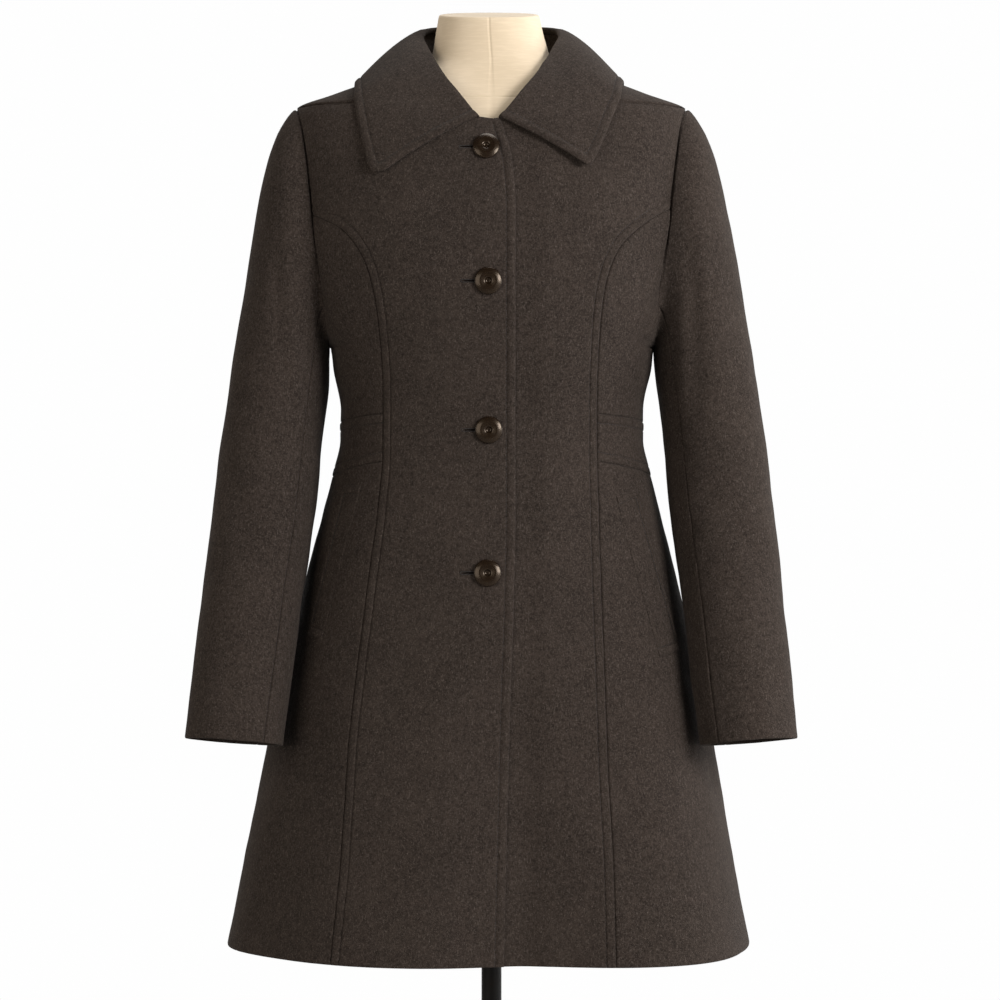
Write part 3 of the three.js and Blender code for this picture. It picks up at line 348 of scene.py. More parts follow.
# Soft creases of the body: direction in degrees, height, half breadth, half length, sideways run for
# each metre up, and how far it stands out (a trough is below zero).
BODY_CREASES = [
    (-72, 1.185, 0.012, 0.045, -0.45, -0.0016),
    (-64, 1.215, 0.014, 0.050, -0.60, 0.0012),
    (-46, 1.150, 0.020, 0.070, -0.25, -0.0010),
    (70, 1.190, 0.012, 0.045, 0.50, -0.0018),
    (61, 1.222, 0.013, 0.048, 0.65, 0.0013),
    (44, 1.140, 0.022, 0.065, 0.20, -0.0009),
    (-20, 0.905, 0.030, 0.120, 0.10, -0.0014),
    (24, 0.880, 0.034, 0.140, -0.08, -0.0012),
    (-34, 0.700, 0.026, 0.120, 0.05, 0.0014),
    (30, 0.660, 0.024, 0.110, -0.05, -0.0016),
    (-8, 0.720, 0.022, 0.130, 0.02, 0.0010),
    (-70, 0.760, 0.022, 0.110, 0.10, -0.0015),
    (72, 0.740, 0.020, 0.110, -0.10, -0.0016),
    (112, 1.190, 0.014, 0.050, -0.50, -0.0018),
    (124, 1.215, 0.014, 0.048, -0.60, 0.0013),
    (140, 1.120, 0.026, 0.070, -0.20, -0.0011),
    (-115, 1.185, 0.014, 0.050, 0.50, -0.0017),
    (-128, 1.210, 0.015, 0.048, 0.60, 0.0012),
    (-150, 1.130, 0.024, 0.075, 0.15, -0.0010),
    (170, 0.900, 0.030, 0.110, 0.10, 0.0013),
    (-165, 0.780, 0.026, 0.120, -0.08, -0.0015),
    (150, 0.690, 0.024, 0.110, 0.05, 0.0014),
    (-120, 0.720, 0.024, 0.120, 0.10, 0.0012),
    (108, 0.800, 0.022, 0.110, -0.08, -0.0015),
]
# Soft creases of the sleeves: degrees round from the shoulder over the front, distance down the
# sleeve, half breadth, half length, sideways run for each metre down, and how far it stands out.
SLEEVE_CREASES_RIGHT = [
    (80, 0.110, 0.010, 0.060, 0.30, -0.0018),
    (105, 0.150, 0.012, 0.060, 0.35, 0.0013),
    (40, 0.060, 0.014, 0.040, 0.10, -0.0010),
    (70, 0.330, 0.018, 0.060, 0.60, -0.0014),
    (100, 0.360, 0.014, 0.050, -0.80, 0.0011),
    (20, 0.420, 0.020, 0.090, 0.20, -0.0012),
    (60, 0.530, 0.018, 0.070, 0.15, 0.0010),
    (200, 0.180, 0.014, 0.060, -0.30, -0.0016),
    (230, 0.340, 0.016, 0.060, 0.70, -0.0018),
    (270, 0.300, 0.018, 0.070, -0.50, 0.0012),
    (300, 0.130, 0.014, 0.060, -0.30, -0.0013),
    (320, 0.480, 0.020, 0.080, 0.20, -0.0012),
]
SLEEVE_CREASES_LEFT = [
    (98, 0.105, 0.009, 0.075, 0.12, -0.0021),
    (116, 0.140, 0.011, 0.065, 0.15, 0.0014),
    (60, 0.200, 0.018, 0.090, 0.25, -0.0011),
    (76, 0.350, 0.017, 0.060, -0.60, -0.0015),
    (105, 0.330, 0.013, 0.050, 0.80, 0.0012),
    (30, 0.310, 0.020, 0.080, 0.20, 0.0011),
    (50, 0.500, 0.020, 0.080, -0.15, -0.0012),
    (205, 0.170, 0.014, 0.060, 0.30, -0.0016),
    (225, 0.350, 0.016, 0.060, -0.70, -0.0017),
    (275, 0.290, 0.018, 0.070, 0.50, 0.0013),
    (305, 0.140, 0.014, 0.060, 0.30, -0.0013),
    (325, 0.500, 0.020, 0.080, -0.20, -0.0011),
]


def column(table, value):
    """Smooth value of one column of a table by its first column, with no overshoot between rows."""
    at = np.array([row[0] for row in table], float)
    v = np.array([row[value] for row in table], float)
    step = np.diff(at)
    slope = np.diff(v) / step
    tangent = np.concatenate([slope[:1], np.zeros(len(v) - 2), slope[-1:]])
    before, after = slope[:-1], slope[1:]
    rising = before * after > 0
    a = 2 * step[1:] + step[:-1]
    b = step[1:] + 2 * step[:-1]
    safe_before = np.where(rising, before, 1)
    safe_after = np.where(rising, after, 1)
    tangent[1:-1] = np.where(rising, (a + b) / (a / safe_before + b / safe_after), 0)

    def value_at(x):
        x = np.clip(x, at[0], at[-1])
        i = np.clip(np.searchsorted(at, x, side="right") - 1, 0, len(step) - 1)
        h = step[i]
        t = (x - at[i]) / h
        start = (1 + 2 * t) * (1 - t) ** 2 * v[i] + t * (1 - t) ** 2 * h * tangent[i]
        end = t * t * (3 - 2 * t) * v[i + 1] - t * t * (1 - t) * h * tangent[i + 1]
        return start + end

    return value_at


def smoothstep(x, low, high):
    t = np.clip((x - low) / (high - low), 0, 1)
    return t * t * (3 - 2 * t)


body_mid, body_half, body_front, body_back = (column(BODY, i) for i in (1, 2, 3, 4))
armhole_x = column(ARMHOLE, 1)
princess_left = column(PRINCESS_LEFT, 1)
princess_right = column(PRINCESS_RIGHT, 1)
princess_back = column(PRINCESS_BACK, 1)
over_edge = column(OVER_EDGE, 1)
under_edge = column(UNDER_EDGE, 1)
back_neck = column(BACK_NECK, 1)


def flute(angle, z):
    """Outward push of the hanging flutes."""
    fall = np.clip((FLUTE_TOP - z) / (FLUTE_TOP - HEM), 0, None) ** 1.4
    turn = np.degrees(angle)
    push = sum(
        out * np.exp(-((((turn - at + 540) % 360 - 180) / wide) ** 2)) for at, wide, out in FLUTES
    )
    return push * fall


def body_point(angle, z):
    """Point of the body cloth: angle 0 is the centre front, 90 degrees the viewer's right side."""
    s, c = np.sin(angle), np.cos(angle)
    x = np.sign(s) * np.abs(s) ** (2 / SLICE_POWER) * body_half(z)
    depth = np.where(c > 0, body_front(z), body_back(z))
    y = -np.sign(c) * np.abs(c) ** (2 / SLICE_POWER) * depth
    push = 1 + flute(angle, z) / np.hypot(x, y)
    return np.stack([body_mid(z) + x * push, y * push, z + 0 * x], axis=-1)


def angle_at(x, z, back=False):
    """Angle of the body cloth where it crosses a given x, on the front or on the back."""
    off = x - body_mid(z)
    share = np.minimum(1, np.abs(off) / body_half(z)) ** (SLICE_POWER / 2)
    angle = np.arcsin(share) * np.sign(off)
    return math.pi - angle if back else angle


def length_of(v):
    return np.sqrt((v * v).sum(-1))


def unit(v):
    return v / length_of(v)[..., None]


def normals_of(surface, u, v, du, dv):
    """Normals of a surface that is a function of two numbers."""
    along = surface(u + du, v) - surface(u - du, v)
    up = surface(u, v + dv) - surface(u, v - dv)
    return unit(np.cross(along, up))


def waves(spots, size, seed):
    """Smooth uneven waves between about -1 and 1, of a given size in metres, the same on each run."""
    dice = np.random.default_rng(seed)
    total = np.zeros(spots.shape[:-1])
    for _ in range(6):
        way = dice.normal(size=spots.shape[-1])
        pace = math.tau / (size * dice.uniform(0.7, 1.5))
        total += np.sin(spots @ (way / np.linalg.norm(way)) * pace + dice.uniform(0, math.tau))
    return total / 3


# What the cloth beside a crease gives, as a share of its height, and where, in half breadths.
CREASE_GIVE = 0.35
CREASE_GIVE_AT = 1.9


def crease_relief(creases, turn, along, radius):
    """Height of soft creases laid on a surface, from its direction round and place along it.

    Beside each crease the cloth gives the other way, by a share of the crease's own height."""
    height = np.zeros(np.broadcast(turn, along).shape)
    for at, place, breadth, half_length, run, out in creases:
        up = along - place
        round_it = (np.degrees(turn) - at + 540) % 360 - 180
        across = (np.radians(round_it) * radius - run * up) / breadth
        fade = np.exp(-((up / half_length) ** 2))
        give = CREASE_GIVE * np.exp(-((np.abs(across) - CREASE_GIVE_AT) ** 2))
        height += out * fade * (np.exp(-(across**2)) - give)
    return height


def body_normals(angle, z):
    """Ways straight out of the body cloth."""
    return normals_of(body_point, angle, z, 0.004, 0.0006)


def body_relief(angle, z):
    """Creases and slight unevenness of the body cloth."""
    spots = body_point(angle, z)
    height = crease_relief(BODY_CREASES, angle, z, BODY_RADIUS)
    height = height + UNEVEN_SLOW * waves(spots, 0.09, 11) + UNEVEN_FINE * waves(spots, 0.03, 12)
    return height * coat().crease_strength


def along_line(line):
    """How far along a line of points each point is."""
    return np.concatenate([[0], np.cumsum(length_of(np.diff(line, axis=0)))])


def beside(points, line):
    """Distance of each point from a line, and how far along the line its nearest place is."""
    run = along_line(line)
    at = np.arange(0, run[-1], 0.0005)
    spots = np.stack([np.interp(at, run, line[:, k]) for k in range(3)], axis=1)
    tree = KDTree(len(spots))
    for i, spot in enumerate(spots):
        tree.insert(spot, i)
    tree.balance()
    found = [tree.find(p)[1:] for p in points.reshape(-1, 3)]
    index = np.array([f[0] for f in found])
    distance = np.array([f[1] for f in found])
    return distance.reshape(points.shape[:-1]), at[index].reshape(points.shape[:-1])


def spread(lengths, slant_a, slant_b, steps_a, steps_b, middle):
    """Distances along rows of given lengths, close together beside both ends."""
    a = np.array(steps_a)[None, :] / slant_a[:, None]
    b = np.array(steps_b)[None, :] / slant_b[:, None]
    fit = np.minimum(1, 0.8 * lengths / (a[:, -1] + b[:, -1]))[:, None]
    a, b = a * fit, b * fit
    share = np.linspace(0, 1, middle + 2)[None, 1:-1]
    start, end = a[:, -1:], lengths[:, None] - b[:, -1:]
    return np.concatenate([a, start + (end - start) * share, lengths[:, None] - b[:, ::-1]], axis=1)


def heights(stops, bottom=BESIDE_PLAIN, top=BESIDE_PLAIN):
    """Row heights between stops, each with the spacing up to it, close together at both ends."""
    rows = [stops[0][0] + np.array(bottom)]
    low = stops[0][0] + bottom[-1]
    for high, spacing in stops[1:]:
        if high == stops[-1][0]:
            high = high - top[-1]
        count = max(1, round((high - low) / spacing))
        rows.append(np.linspace(low, high, count + 1)[1:])
        low = high
    rows.append(stops[-1][0] - np.array(top[::-1])[1:])
    return np.concatenate(rows)


def lay_out(surface, a, b, slants, steps, middle):
    """Grid of a surface's two numbers between edges a and b, rows close together beside both edges."""
    share = np.linspace(0, 1, 33)[None, :]
    u = a[0][:, None] + (b[0] - a[0])[:, None] * share
    v = a[1][:, None] + (b[1] - a[1])[:, None] * share
    pace = length_of(np.diff(surface(u, v), axis=1))
    run = np.concatenate([np.zeros((len(pace), 1)), np.cumsum(pace, axis=1)], axis=1)
    wanted = spread(run[:, -1], slants[0], slants[1], steps[0], steps[1], middle)
    at = np.stack([np.interp(w, r, share[0]) for w, r in zip(wanted, run)])
    return (a[0][:, None] + (b[0] - a[0])[:, None] * at, a[1][:, None] + (b[1] - a[1])[:, None] * at)


def border(grid, side, rows=slice(None)):
    """Line of points along one side of a grid."""
    return {"a": grid[rows, 0], "b": grid[rows, -1], "bottom": grid[0], "top": grid[-1]}[side]


def sewn_wall(base, normals, edges, lift=0.0, thick=CLOTH, seed=0, inward=None, soft_folds=True):
    """Outer and inner grid of a piece of cloth, with the relief of its seams, folds and topstitching.

    edges lists (side, kind, rows, inset), where kind is seam, stitched seam, fold or stitched fold.
    Also gives the lines on which its topstitches lie, as points and normals."""
    sewing = coat()
    inset = sewing.stitch_inset
    dip, rounding, run_of_nearest = np.zeros((3, *base.shape[:-1]))
    near_stitch, puff = np.ones((2, *base.shape[:-1]))
    stitched = []
    for side, kind, rows, own_inset in edges:
        distance, run = beside(base, border(base, side, rows))
        if "fold" in kind:
            close = np.clip(1 - distance / (thick * FOLD_ROLL), 0, 1)
            rounding = np.maximum(rounding, FOLD_ROUND * thick / 2 * (1 - np.sqrt(1 - close**2)))
        else:
            dip = np.maximum(dip, SEAM_DIP * (1 - smoothstep(distance, 0, SEAM_ROUND)))
        if "stitched" in kind:
            scaled = distance * inset / (own_inset or inset)
            puff = np.where(scaled < near_stitch, FOLD_PUFF if "fold" in kind else 1.0, puff)
            run_of_nearest = np.where(scaled < near_stitch, run, run_of_nearest)
            near_stitch = np.minimum(near_stitch, scaled)
            stitched.append((side, rows))
    relief = -dip - rounding
    if stitched:
        before_stitch = 1 - smoothstep(near_stitch, inset - SWELL_END, inset)
        swell = smoothstep(near_stitch, SWELL_START, SWELL_FULL) * before_stitch
        run = run_of_nearest[..., None]
        uneven = 1 + SWELL_UNEVEN * waves(run, 0.013, seed)
        deep = GROOVE_DEEP * (1 + GROOVE_UNEVEN * waves(run, 0.009, seed + 50))
        on_fold = soft_folds & (puff > 1)
        wide = GROOVE_WIDTH * np.where(on_fold, FOLD_GROOVE_WIDTH, 1)
        groove = deep * np.exp(-(((near_stitch - inset) / wide) ** 2))
        groove = groove * np.where(on_fold, FOLD_GROOVE_DEEP, 1)
        relief = relief + sewing.ridge_height * puff * swell * uneven - groove
    outer = base + normals * (lift + relief)[..., None]
    inner = base + (normals if inward is None else inward) * (lift - thick + rounding)[..., None]
    paths = [stitch_line(outer, normals, near_stitch, inset, side, rows) for side, rows in stitched]
    return outer, inner, paths


# Longer steps between two points of a grid are left without stitches.
LONGEST_STEP = 0.012


def stitch_line(outer, normals, distance, inset, side, rows):
    """Points and normals of the line on a grid that stays a given distance inside one of its sides.

    Rows that don't cross that distance are left out, and so are steps longer than LONGEST_STEP."""
    grids = [outer, normals, distance]
    if side in ("bottom", "top"):
        grids = [g.swapaxes(0, 1) for g in grids]
    else:
        grids = [g[rows] for g in grids]
    if side in ("b", "top"):
        grids = [g[:, ::-1] for g in grids]
    outer, normals, distance = grids
    points, ways = [], []
    for spots, out, away in zip(outer, normals, distance):
        beyond = np.nonzero(away >= inset)[0]
        if len(beyond) == 0 or beyond[0] == 0:
            continue
        k = beyond[0]
        t = (inset - away[k - 1]) / (away[k] - away[k - 1])
        if length_of(spots[k] - spots[k - 1]) > LONGEST_STEP:
            continue
        points.append(spots[k - 1] + (spots[k] - spots[k - 1]) * t)
        ways.append(out[k])
    return np.array(points), np.array(ways)


# Points of a piece that are closer together than this are one point.
SAME_POINT = 1e-7


def mesh_object(name, points, faces, look):
    """New object of a mesh in the row frame, faces turned outwards."""
    mesh = bpy.data.meshes.new(name)
    mesh.from_pydata([tuple(p) for p in points], [], [tuple(f) for f in faces])
    mesh.validate()
    form = bmesh.new()
    form.from_mesh(mesh)
    bmesh.ops.remove_doubles(form, verts=form.verts, dist=SAME_POINT)
    if form.calc_volume(signed=True) < 0:
        bmesh.ops.reverse_faces(form, faces=form.faces)
    form.to_mesh(mesh)
    form.free()
    mesh.polygons.foreach_set("use_smooth", [True] * len(mesh.polygons))
    mesh.materials.append(look)
    made = bpy.data.objects.new(name, mesh)
    bpy.context.scene.collection.objects.link(made)
    return made


def grid_faces(rows, cols, start=0, closed=False):
    """Quads of a grid of points; closed joins its last column to its first."""
    r, c = np.meshgrid(np.arange(rows - 1), np.arange(cols if closed else cols - 1), indexing="ij")
    after = (c + 1) % cols
    corners = [r * cols + c, r * cols + after, (r + 1) * cols + after, (r + 1) * cols + c]
    return np.stack([k.ravel() for k in corners], axis=1) + start


def wall_object(name, outer, inner, look):
    """Closed wall of cloth between an outer and an inner grid."""
    rows, cols = outer.shape[:2]
    back = rows * cols
    ring = np.concatenate(
        [
            np.arange(cols - 1),
            np.arange(rows - 1) * cols + cols - 1,
            (rows - 1) * cols + np.arange(cols - 1, 0, -1),
            np.arange(rows - 1, 0, -1) * cols,
        ]
    )
    following = np.roll(ring, -1)
    rim = np.stack([ring, ring + back, following + back, following], axis=1)
    faces = [grid_faces(rows, cols), grid_faces(rows, cols, back)[:, ::-1], rim]
    points = np.concatenate([outer.reshape(-1, 3), inner.reshape(-1, 3)])
    return mesh_object(name, points, np.concatenate(faces).tolist(), look)


def fit_on(made, node):
    """The piece rides on the body and stands for its solid, whose part is hidden."""
    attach(made, BODY_NAME)
    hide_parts(node)


def cloth_object(name, outer, inner, look):
    """Piece of the coat, standing for the solid of the same name."""
    made = wall_object(f"{name}_cloth", outer, inner, look)
    fit_on(made, name)


# A stitch: half its length as a share of the spacing, its rings of points (place along it and
# thickness), how flat it is, and how far its ends sink.
STITCH_HALF = 0.39
STITCH_PROFILE = ((-1, 0.25), (-0.72, 0.85), (0, 1), (0.72, 0.85), (1, 0.25))
STITCH_AROUND = 6
STITCH_FLAT = 0.7
STITCH_SINK = 0.8


def topstitching(name, paths, look, spacing=None):
    """Small sunk stitches along lines, joined into one piece."""
    sewing = coat()
    spacing = spacing or sewing.stitch_length
    half = spacing * STITCH_HALF
    around = STITCH_AROUND
    thick = sewing.thread_width / 2
    points, faces = [], []
    for line, ways in paths:
        if len(line) < 2:
            continue
        run = along_line(line)
        for at in np.arange(spacing / 2, run[-1] - spacing / 2, spacing):
            here, before, after = (
                np.array([np.interp(k, run, line[:, i]) for i in range(3)])
                for k in (at, at - half, at + half)
            )
            out = unit(np.array([np.interp(at, run, ways[:, i]) for i in range(3)]))
            way = unit(after - before)
            across = np.cross(out, way)
            start = len(points)
            for share, size in STITCH_PROFILE:
                for i in range(around):
                    turn = math.tau * i / around
                    spot = here + way * share * half + across * math.cos(turn) * thick * size
                    rise = math.sin(turn) * size * STITCH_FLAT - share**2 * STITCH_SINK
                    points.append(spot + out * rise * thick)
            faces += grid_faces(len(STITCH_PROFILE), around, start, closed=True).tolist()
            last = start + (len(STITCH_PROFILE) - 1) * around
            faces.append([start + i for i in range(around)][::-1])
            faces.append([last + i for i in range(around)])
    made = mesh_object(name, points, faces, look)
    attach(made, BODY_NAME)


ALL_ROWS = slice(None)


def slant_of(edge, rows):
    """Sine of the angle at which an edge crosses the rows, and metres for each radian beside it."""
    angle, z = edge(rows)
    run = unit(body_point(*edge(rows + 0.0008)) - body_point(*edge(rows - 0.0008)))
    across = body_point(angle + 0.01, z) - body_point(angle - 0.01, z)
    slant = length_of(np.cross(unit(across), run))
    return np.maximum(0.18, slant), length_of(across) / 0.02


def body_grid(rows, edge_a, edge_b, steps, middle):
    """Points and normals of a piece of body cloth between two edges, each giving angle and height."""
    a, b = edge_a(rows), edge_b(rows)
    turn = np.sign((b[0] - a[0]).mean())
    (sine_a, pace_a), (sine_b, pace_b) = slant_of(edge_a, rows), slant_of(edge_b, rows)
    a = (a[0] + turn * HALF_SEAM / pace_a / sine_a, a[1])
    b = (b[0] - turn * HALF_SEAM / pace_b / sine_b, b[1])
    angle, z = lay_out(body_point, a, b, (sine_a, sine_b), steps, middle)
    normals = body_normals(angle, z)
    return body_point(angle, z) + normals * body_relief(angle, z)[..., None], normals


def rows_between(rows, low, high=math.inf):
    """The rows of a grid whose heights lie between two heights, or above one."""
    return slice(int(np.searchsorted(rows, low)), int(np.searchsorted(rows, high, side="right")))


# The under front lies a step behind the over front. The step fades between two distances from the
# middle, and a share of it between two heights at the neckline. Each front edge is a fold up to a
# height of its own.
LAP_FADES = (0.030, 0.056)
LAP_NECK_SHARE = 0.7
LAP_NECK_FADES = (1.331, 1.341)
OVER_FOLD_TOP = 1.3375
UNDER_FOLD_TOP = 1.350


def front_panel(side):
    """Front from its edge to the princess seam; the over front is on the viewer's left."""
    over = side < 0
    princess = princess_left if over else princess_right
    meet = MEET_LEFT if over else MEET_RIGHT
    edge = over_edge if over else under_edge

    def front(z):
        return angle_at(edge(z), z), z

    def seam(z):
        above = np.where(z > meet, angle_at(side * armhole_x(z), z), angle_at(princess(z), z))
        return np.where(z >= SHOULDER_TIP, side * math.pi / 2, above), z

    stops = [(HEM,), (1.200, 0.0055), (meet, 0.0022), (1.335, 0.0042), (1.3455, 0.0007), (1.404, 0.0017)]
    rows = heights(stops, top=(0,))
    base, normals = body_grid(rows, front, seam, (BESIDE_STITCHED, BESIDE_STITCHED), 26)
    sink = 0 if over else -LAP_STEP * (1 - smoothstep(base[..., 0], *LAP_FADES))
    sink = sink * (1 - LAP_NECK_SHARE * smoothstep(rows, *LAP_NECK_FADES))[:, None]
    top_of_fold = OVER_FOLD_TOP if over else UNDER_FOLD_TOP
    edges = [
        ("a", "stitched fold" if over else "fold", rows_between(rows, 0, top_of_fold), None),
        ("a", "seam", rows_between(rows, top_of_fold), None),
        ("b", "stitched seam", rows_between(rows, 0, meet), None),
        ("b", "seam", rows_between(rows, meet), None),
        ("bottom", "fold", ALL_ROWS, None),
    ]
    return sewn_wall(base, normals, edges, lift=sink, seed=20 + side)


def back_panel(side):
    """Half of the back, from the centre seam to the princess seam."""
    nape = BACK_NECK[0][0]

    def height(row):
        skirt = HEM + (row - HEM) * (BAND_BACK[0] - HEM) / (BAND_FRONT[0] - HEM)
        share = (row - BAND_FRONT[0]) / (BAND_FRONT[1] - BAND_FRONT[0])
        band = BAND_BACK[0] + share * (BAND_BACK[1] - BAND_BACK[0])
        share = (row - BAND_FRONT[1]) / (MEET_BACK - BAND_FRONT[1])
        chest = BAND_BACK[1] + share * (MEET_BACK - BAND_BACK[1])
        low = np.where(row <= BAND_FRONT[0], skirt, np.where(row <= BAND_FRONT[1], band, chest))
        return np.where(row < MEET_BACK, low, row)

    def centre(row):
        z = height(row)
        return side * np.where(z <= nape, math.pi, angle_at(back_neck(z), z, back=True)), z

    def seam(row):
        z = height(row)
        hole = angle_at(armhole_x(z), z, back=True)
        above = np.where(z > MEET_BACK, hole, angle_at(princess_back(z), z, back=True))
        return side * np.where(z >= SHOULDER_TIP, math.pi / 2, above), z

    rows = heights([(HEM,), (1.200, 0.0055), (MEET_BACK, 0.0022), (1.350, 0.0044), (1.404, 0.0017)], top=(0,))
    base, normals = body_grid(rows, centre, seam, (BESIDE_STITCHED, BESIDE_STITCHED), 24)
    edges = [
        ("a", "stitched seam" if side > 0 else "seam", rows_between(rows, 0, nape), None),
        ("a", "seam", rows_between(rows, nape), None),
        ("b", "stitched seam", rows_between(rows, 0, MEET_BACK), None),
        ("b", "seam", rows_between(rows, MEET_BACK), None),
        ("bottom", "fold", ALL_ROWS, None),
    ]
    return sewn_wall(base, normals, edges, seed=30 + side)


def side_piece(side, back, level):
    """Piece between a princess seam and the side seam: the skirt, the waist band or the chest."""
    if back:
        princess, meet, band = princess_back, MEET_BACK, BAND_BACK
    else:
        princess = princess_left if side < 0 else princess_right
        meet, band = (MEET_LEFT if side < 0 else MEET_RIGHT), BAND_FRONT
    span, seam_span, edge_span = {
        "skirt": ((HEM, BAND_FRONT[0]), (HEM, band[0] - HALF_SEAM), (HEM, BAND_SIDE[0] - HALF_SEAM)),
        "band": (
            BAND_FRONT,
            (band[0] + HALF_SEAM, band[1] - HALF_SEAM),
            (BAND_SIDE[0] + HALF_SEAM, BAND_SIDE[1] - HALF_SEAM),
        ),
        "chest": (
            (BAND_FRONT[1], UNDERARM),
            (band[1] + HALF_SEAM, UNDERARM),
            (BAND_SIDE[1] + HALF_SEAM, UNDERARM),
        ),
    }[level]

    def height(row, ends):
        share = (row - span[0]) / (span[1] - span[0])
        return np.where(row > span[1], row, ends[0] + share * (ends[1] - ends[0]))

    def seam(row):
        z = height(row, seam_span)
        angle = side * angle_at(princess(z), z, back=True) if back else angle_at(princess(z), z)
        return angle, z

    def edge(row):
        z = height(row, edge_span)
        hole = side * angle_at(armhole_x(z), z, back=True) if back else angle_at(side * armhole_x(z), z)
        return np.where(z <= UNDERARM, side * math.pi / 2, hole), z

    rows = {
        "skirt": lambda: heights([(HEM,), (BAND_FRONT[0], 0.0052)]),
        "band": lambda: heights([(BAND_FRONT[0],), (BAND_FRONT[1], 0.004)], BESIDE_STITCHED, BESIDE_STITCHED),
        "chest": lambda: heights([(BAND_FRONT[1],), (1.200, 0.0045), (meet - 0.002, 0.0022)], top=(0,)),
    }[level]()
    base, normals = body_grid(rows, seam, edge, (BESIDE_PLAIN, BESIDE_PLAIN), 22)
    edges = [("a", "seam", ALL_ROWS, None), ("b", "seam", ALL_ROWS, None)]
    edges += {
        "skirt": [("bottom", "fold", ALL_ROWS, None), ("top", "seam", ALL_ROWS, None)],
        "band": [("bottom", "stitched seam", ALL_ROWS, None), ("top", "stitched seam", ALL_ROWS, None)],
        "chest": [("bottom", "seam", ALL_ROWS, None)],
    }[level]
    return sewn_wall(base, normals, edges, lift=BAND_PROUD if level == "band" else 0.0, seed=40 + side)


# Corners of the pocket welts, top and bottom of the inner edge and of the outer edge.
WELTS = {
    "pocket_welt_right": ((-0.127, 0.984), (-0.166, 0.834), (-0.1435, 0.985), (-0.180, 0.839)),
    "pocket_welt_left": ((0.1212, 0.974), (0.160, 0.8175), (0.1404, 0.982), (0.1834, 0.8235)),
}
# Topstitching of the welts: how far inside the outer edge and the ends, how far it stands up, and
# its spacing.
WELT_STITCH = 0.0045
WELT_END_STITCH = 0.0085
WELT_STITCH_UP = 0.0004
WELT_STITCH_LENGTH = 0.0026
# Share of the welts' lift at their inner edge.
WELT_INNER_SHARE = 0.3


def pocket_welt(corners):
    """Welt laid on the side panel, slanting down and outwards, stitched along its outer edge and its ends."""
    inner_top, inner_foot, outer_top, outer_foot = (np.array(c) for c in corners)

    def surface(across, down):
        near = inner_top + (inner_foot - inner_top) * down[..., None]
        far = outer_top + (outer_foot - outer_top) * down[..., None]
        x, z = np.moveaxis(near + (far - near) * across[..., None], -1, 0)
        return body_point(angle_at(x, z), z)

    long = np.linalg.norm(inner_foot - inner_top)
    down = heights([(0,), (long, 0.004)], BESIDE_STITCHED, BESIDE_STITCHED) / long
    ones = np.ones_like(down)
    across, down = lay_out(surface, (0 * ones, down), (ones, down), (ones, ones), (BESIDE_PLAIN[:6],) * 2, 5)
    base = surface(across, down)
    angle, z = angle_at(base[..., 0], base[..., 2]), base[..., 2]
    normals = body_normals(angle, z)
    base = base + normals * body_relief(angle, z)[..., None]
    edges = [
        ("a", "fold", ALL_ROWS, None),
        ("b", "stitched fold", ALL_ROWS, WELT_STITCH),
        ("bottom", "stitched fold", ALL_ROWS, WELT_END_STITCH),
        ("top", "stitched fold", ALL_ROWS, WELT_END_STITCH),
    ]
    lift = WELT_LIFT * (WELT_INNER_SHARE + (1 - WELT_INNER_SHARE) * across)
    return sewn_wall(base, normals, edges, lift=lift, thick=WELT_THICK, seed=60, soft_folds=False)


sleeve_rings = [(i, *ring) for i, ring in enumerate(SLEEVE)]
ring_ox, ring_oz, ring_ix, ring_iz, ring_y, ring_deep, ring_drop, ring_round = (
    column(sleeve_rings, i) for i in range(1, 9)
)
LAST_RING = len(SLEEVE) - 1
ELBOW_LEAN = 0.0015
# Where a sleeve lies so near the body or the armhole that its wall doesn't grow towards the body.
NEAR_BODY = (0.176, 0.184)
NEAR_ARMHOLE = 0.010
# Radius that turns half a sleeve seam into an angle.
SLEEVE_SEAM_RADIUS = 0.055


def sleeve_point(side, turn, at):
    """Point of a sleeve: at counts its rings down, turn goes from the shoulder over the front."""
    lean = side * ELBOW_LEAN * smoothstep(at, 3, 9) * (1 - smoothstep(at, 14, 19))
    c, s = np.cos(turn), np.sin(turn)
    x = ring_ix(at) + (ring_ox(at) - ring_ix(at)) * (1 + c) / 2 + lean
    z = ring_iz(at) + (ring_oz(at) - ring_iz(at)) * (1 + c) / 2 + s * ring_drop(at) / 2
    y = ring_y(at) - s * ring_deep(at)
    arm_z = np.clip(z, UNDERARM + 0.00001, SHOULDER_TIP - 0.00001)
    x = armhole_x(arm_z) + (x - armhole_x(arm_z)) * ring_round(at)
    hole_front = body_point(angle_at(armhole_x(arm_z), arm_z), arm_z)[..., 1]
    hole_back = body_point(angle_at(armhole_x(arm_z), arm_z, back=True), arm_z)[..., 1]
    hole = np.where(s < 0, hole_back, hole_front)
    y = hole + (y - hole) * ring_round(at)
    return np.stack([side * x, y, z], axis=-1)


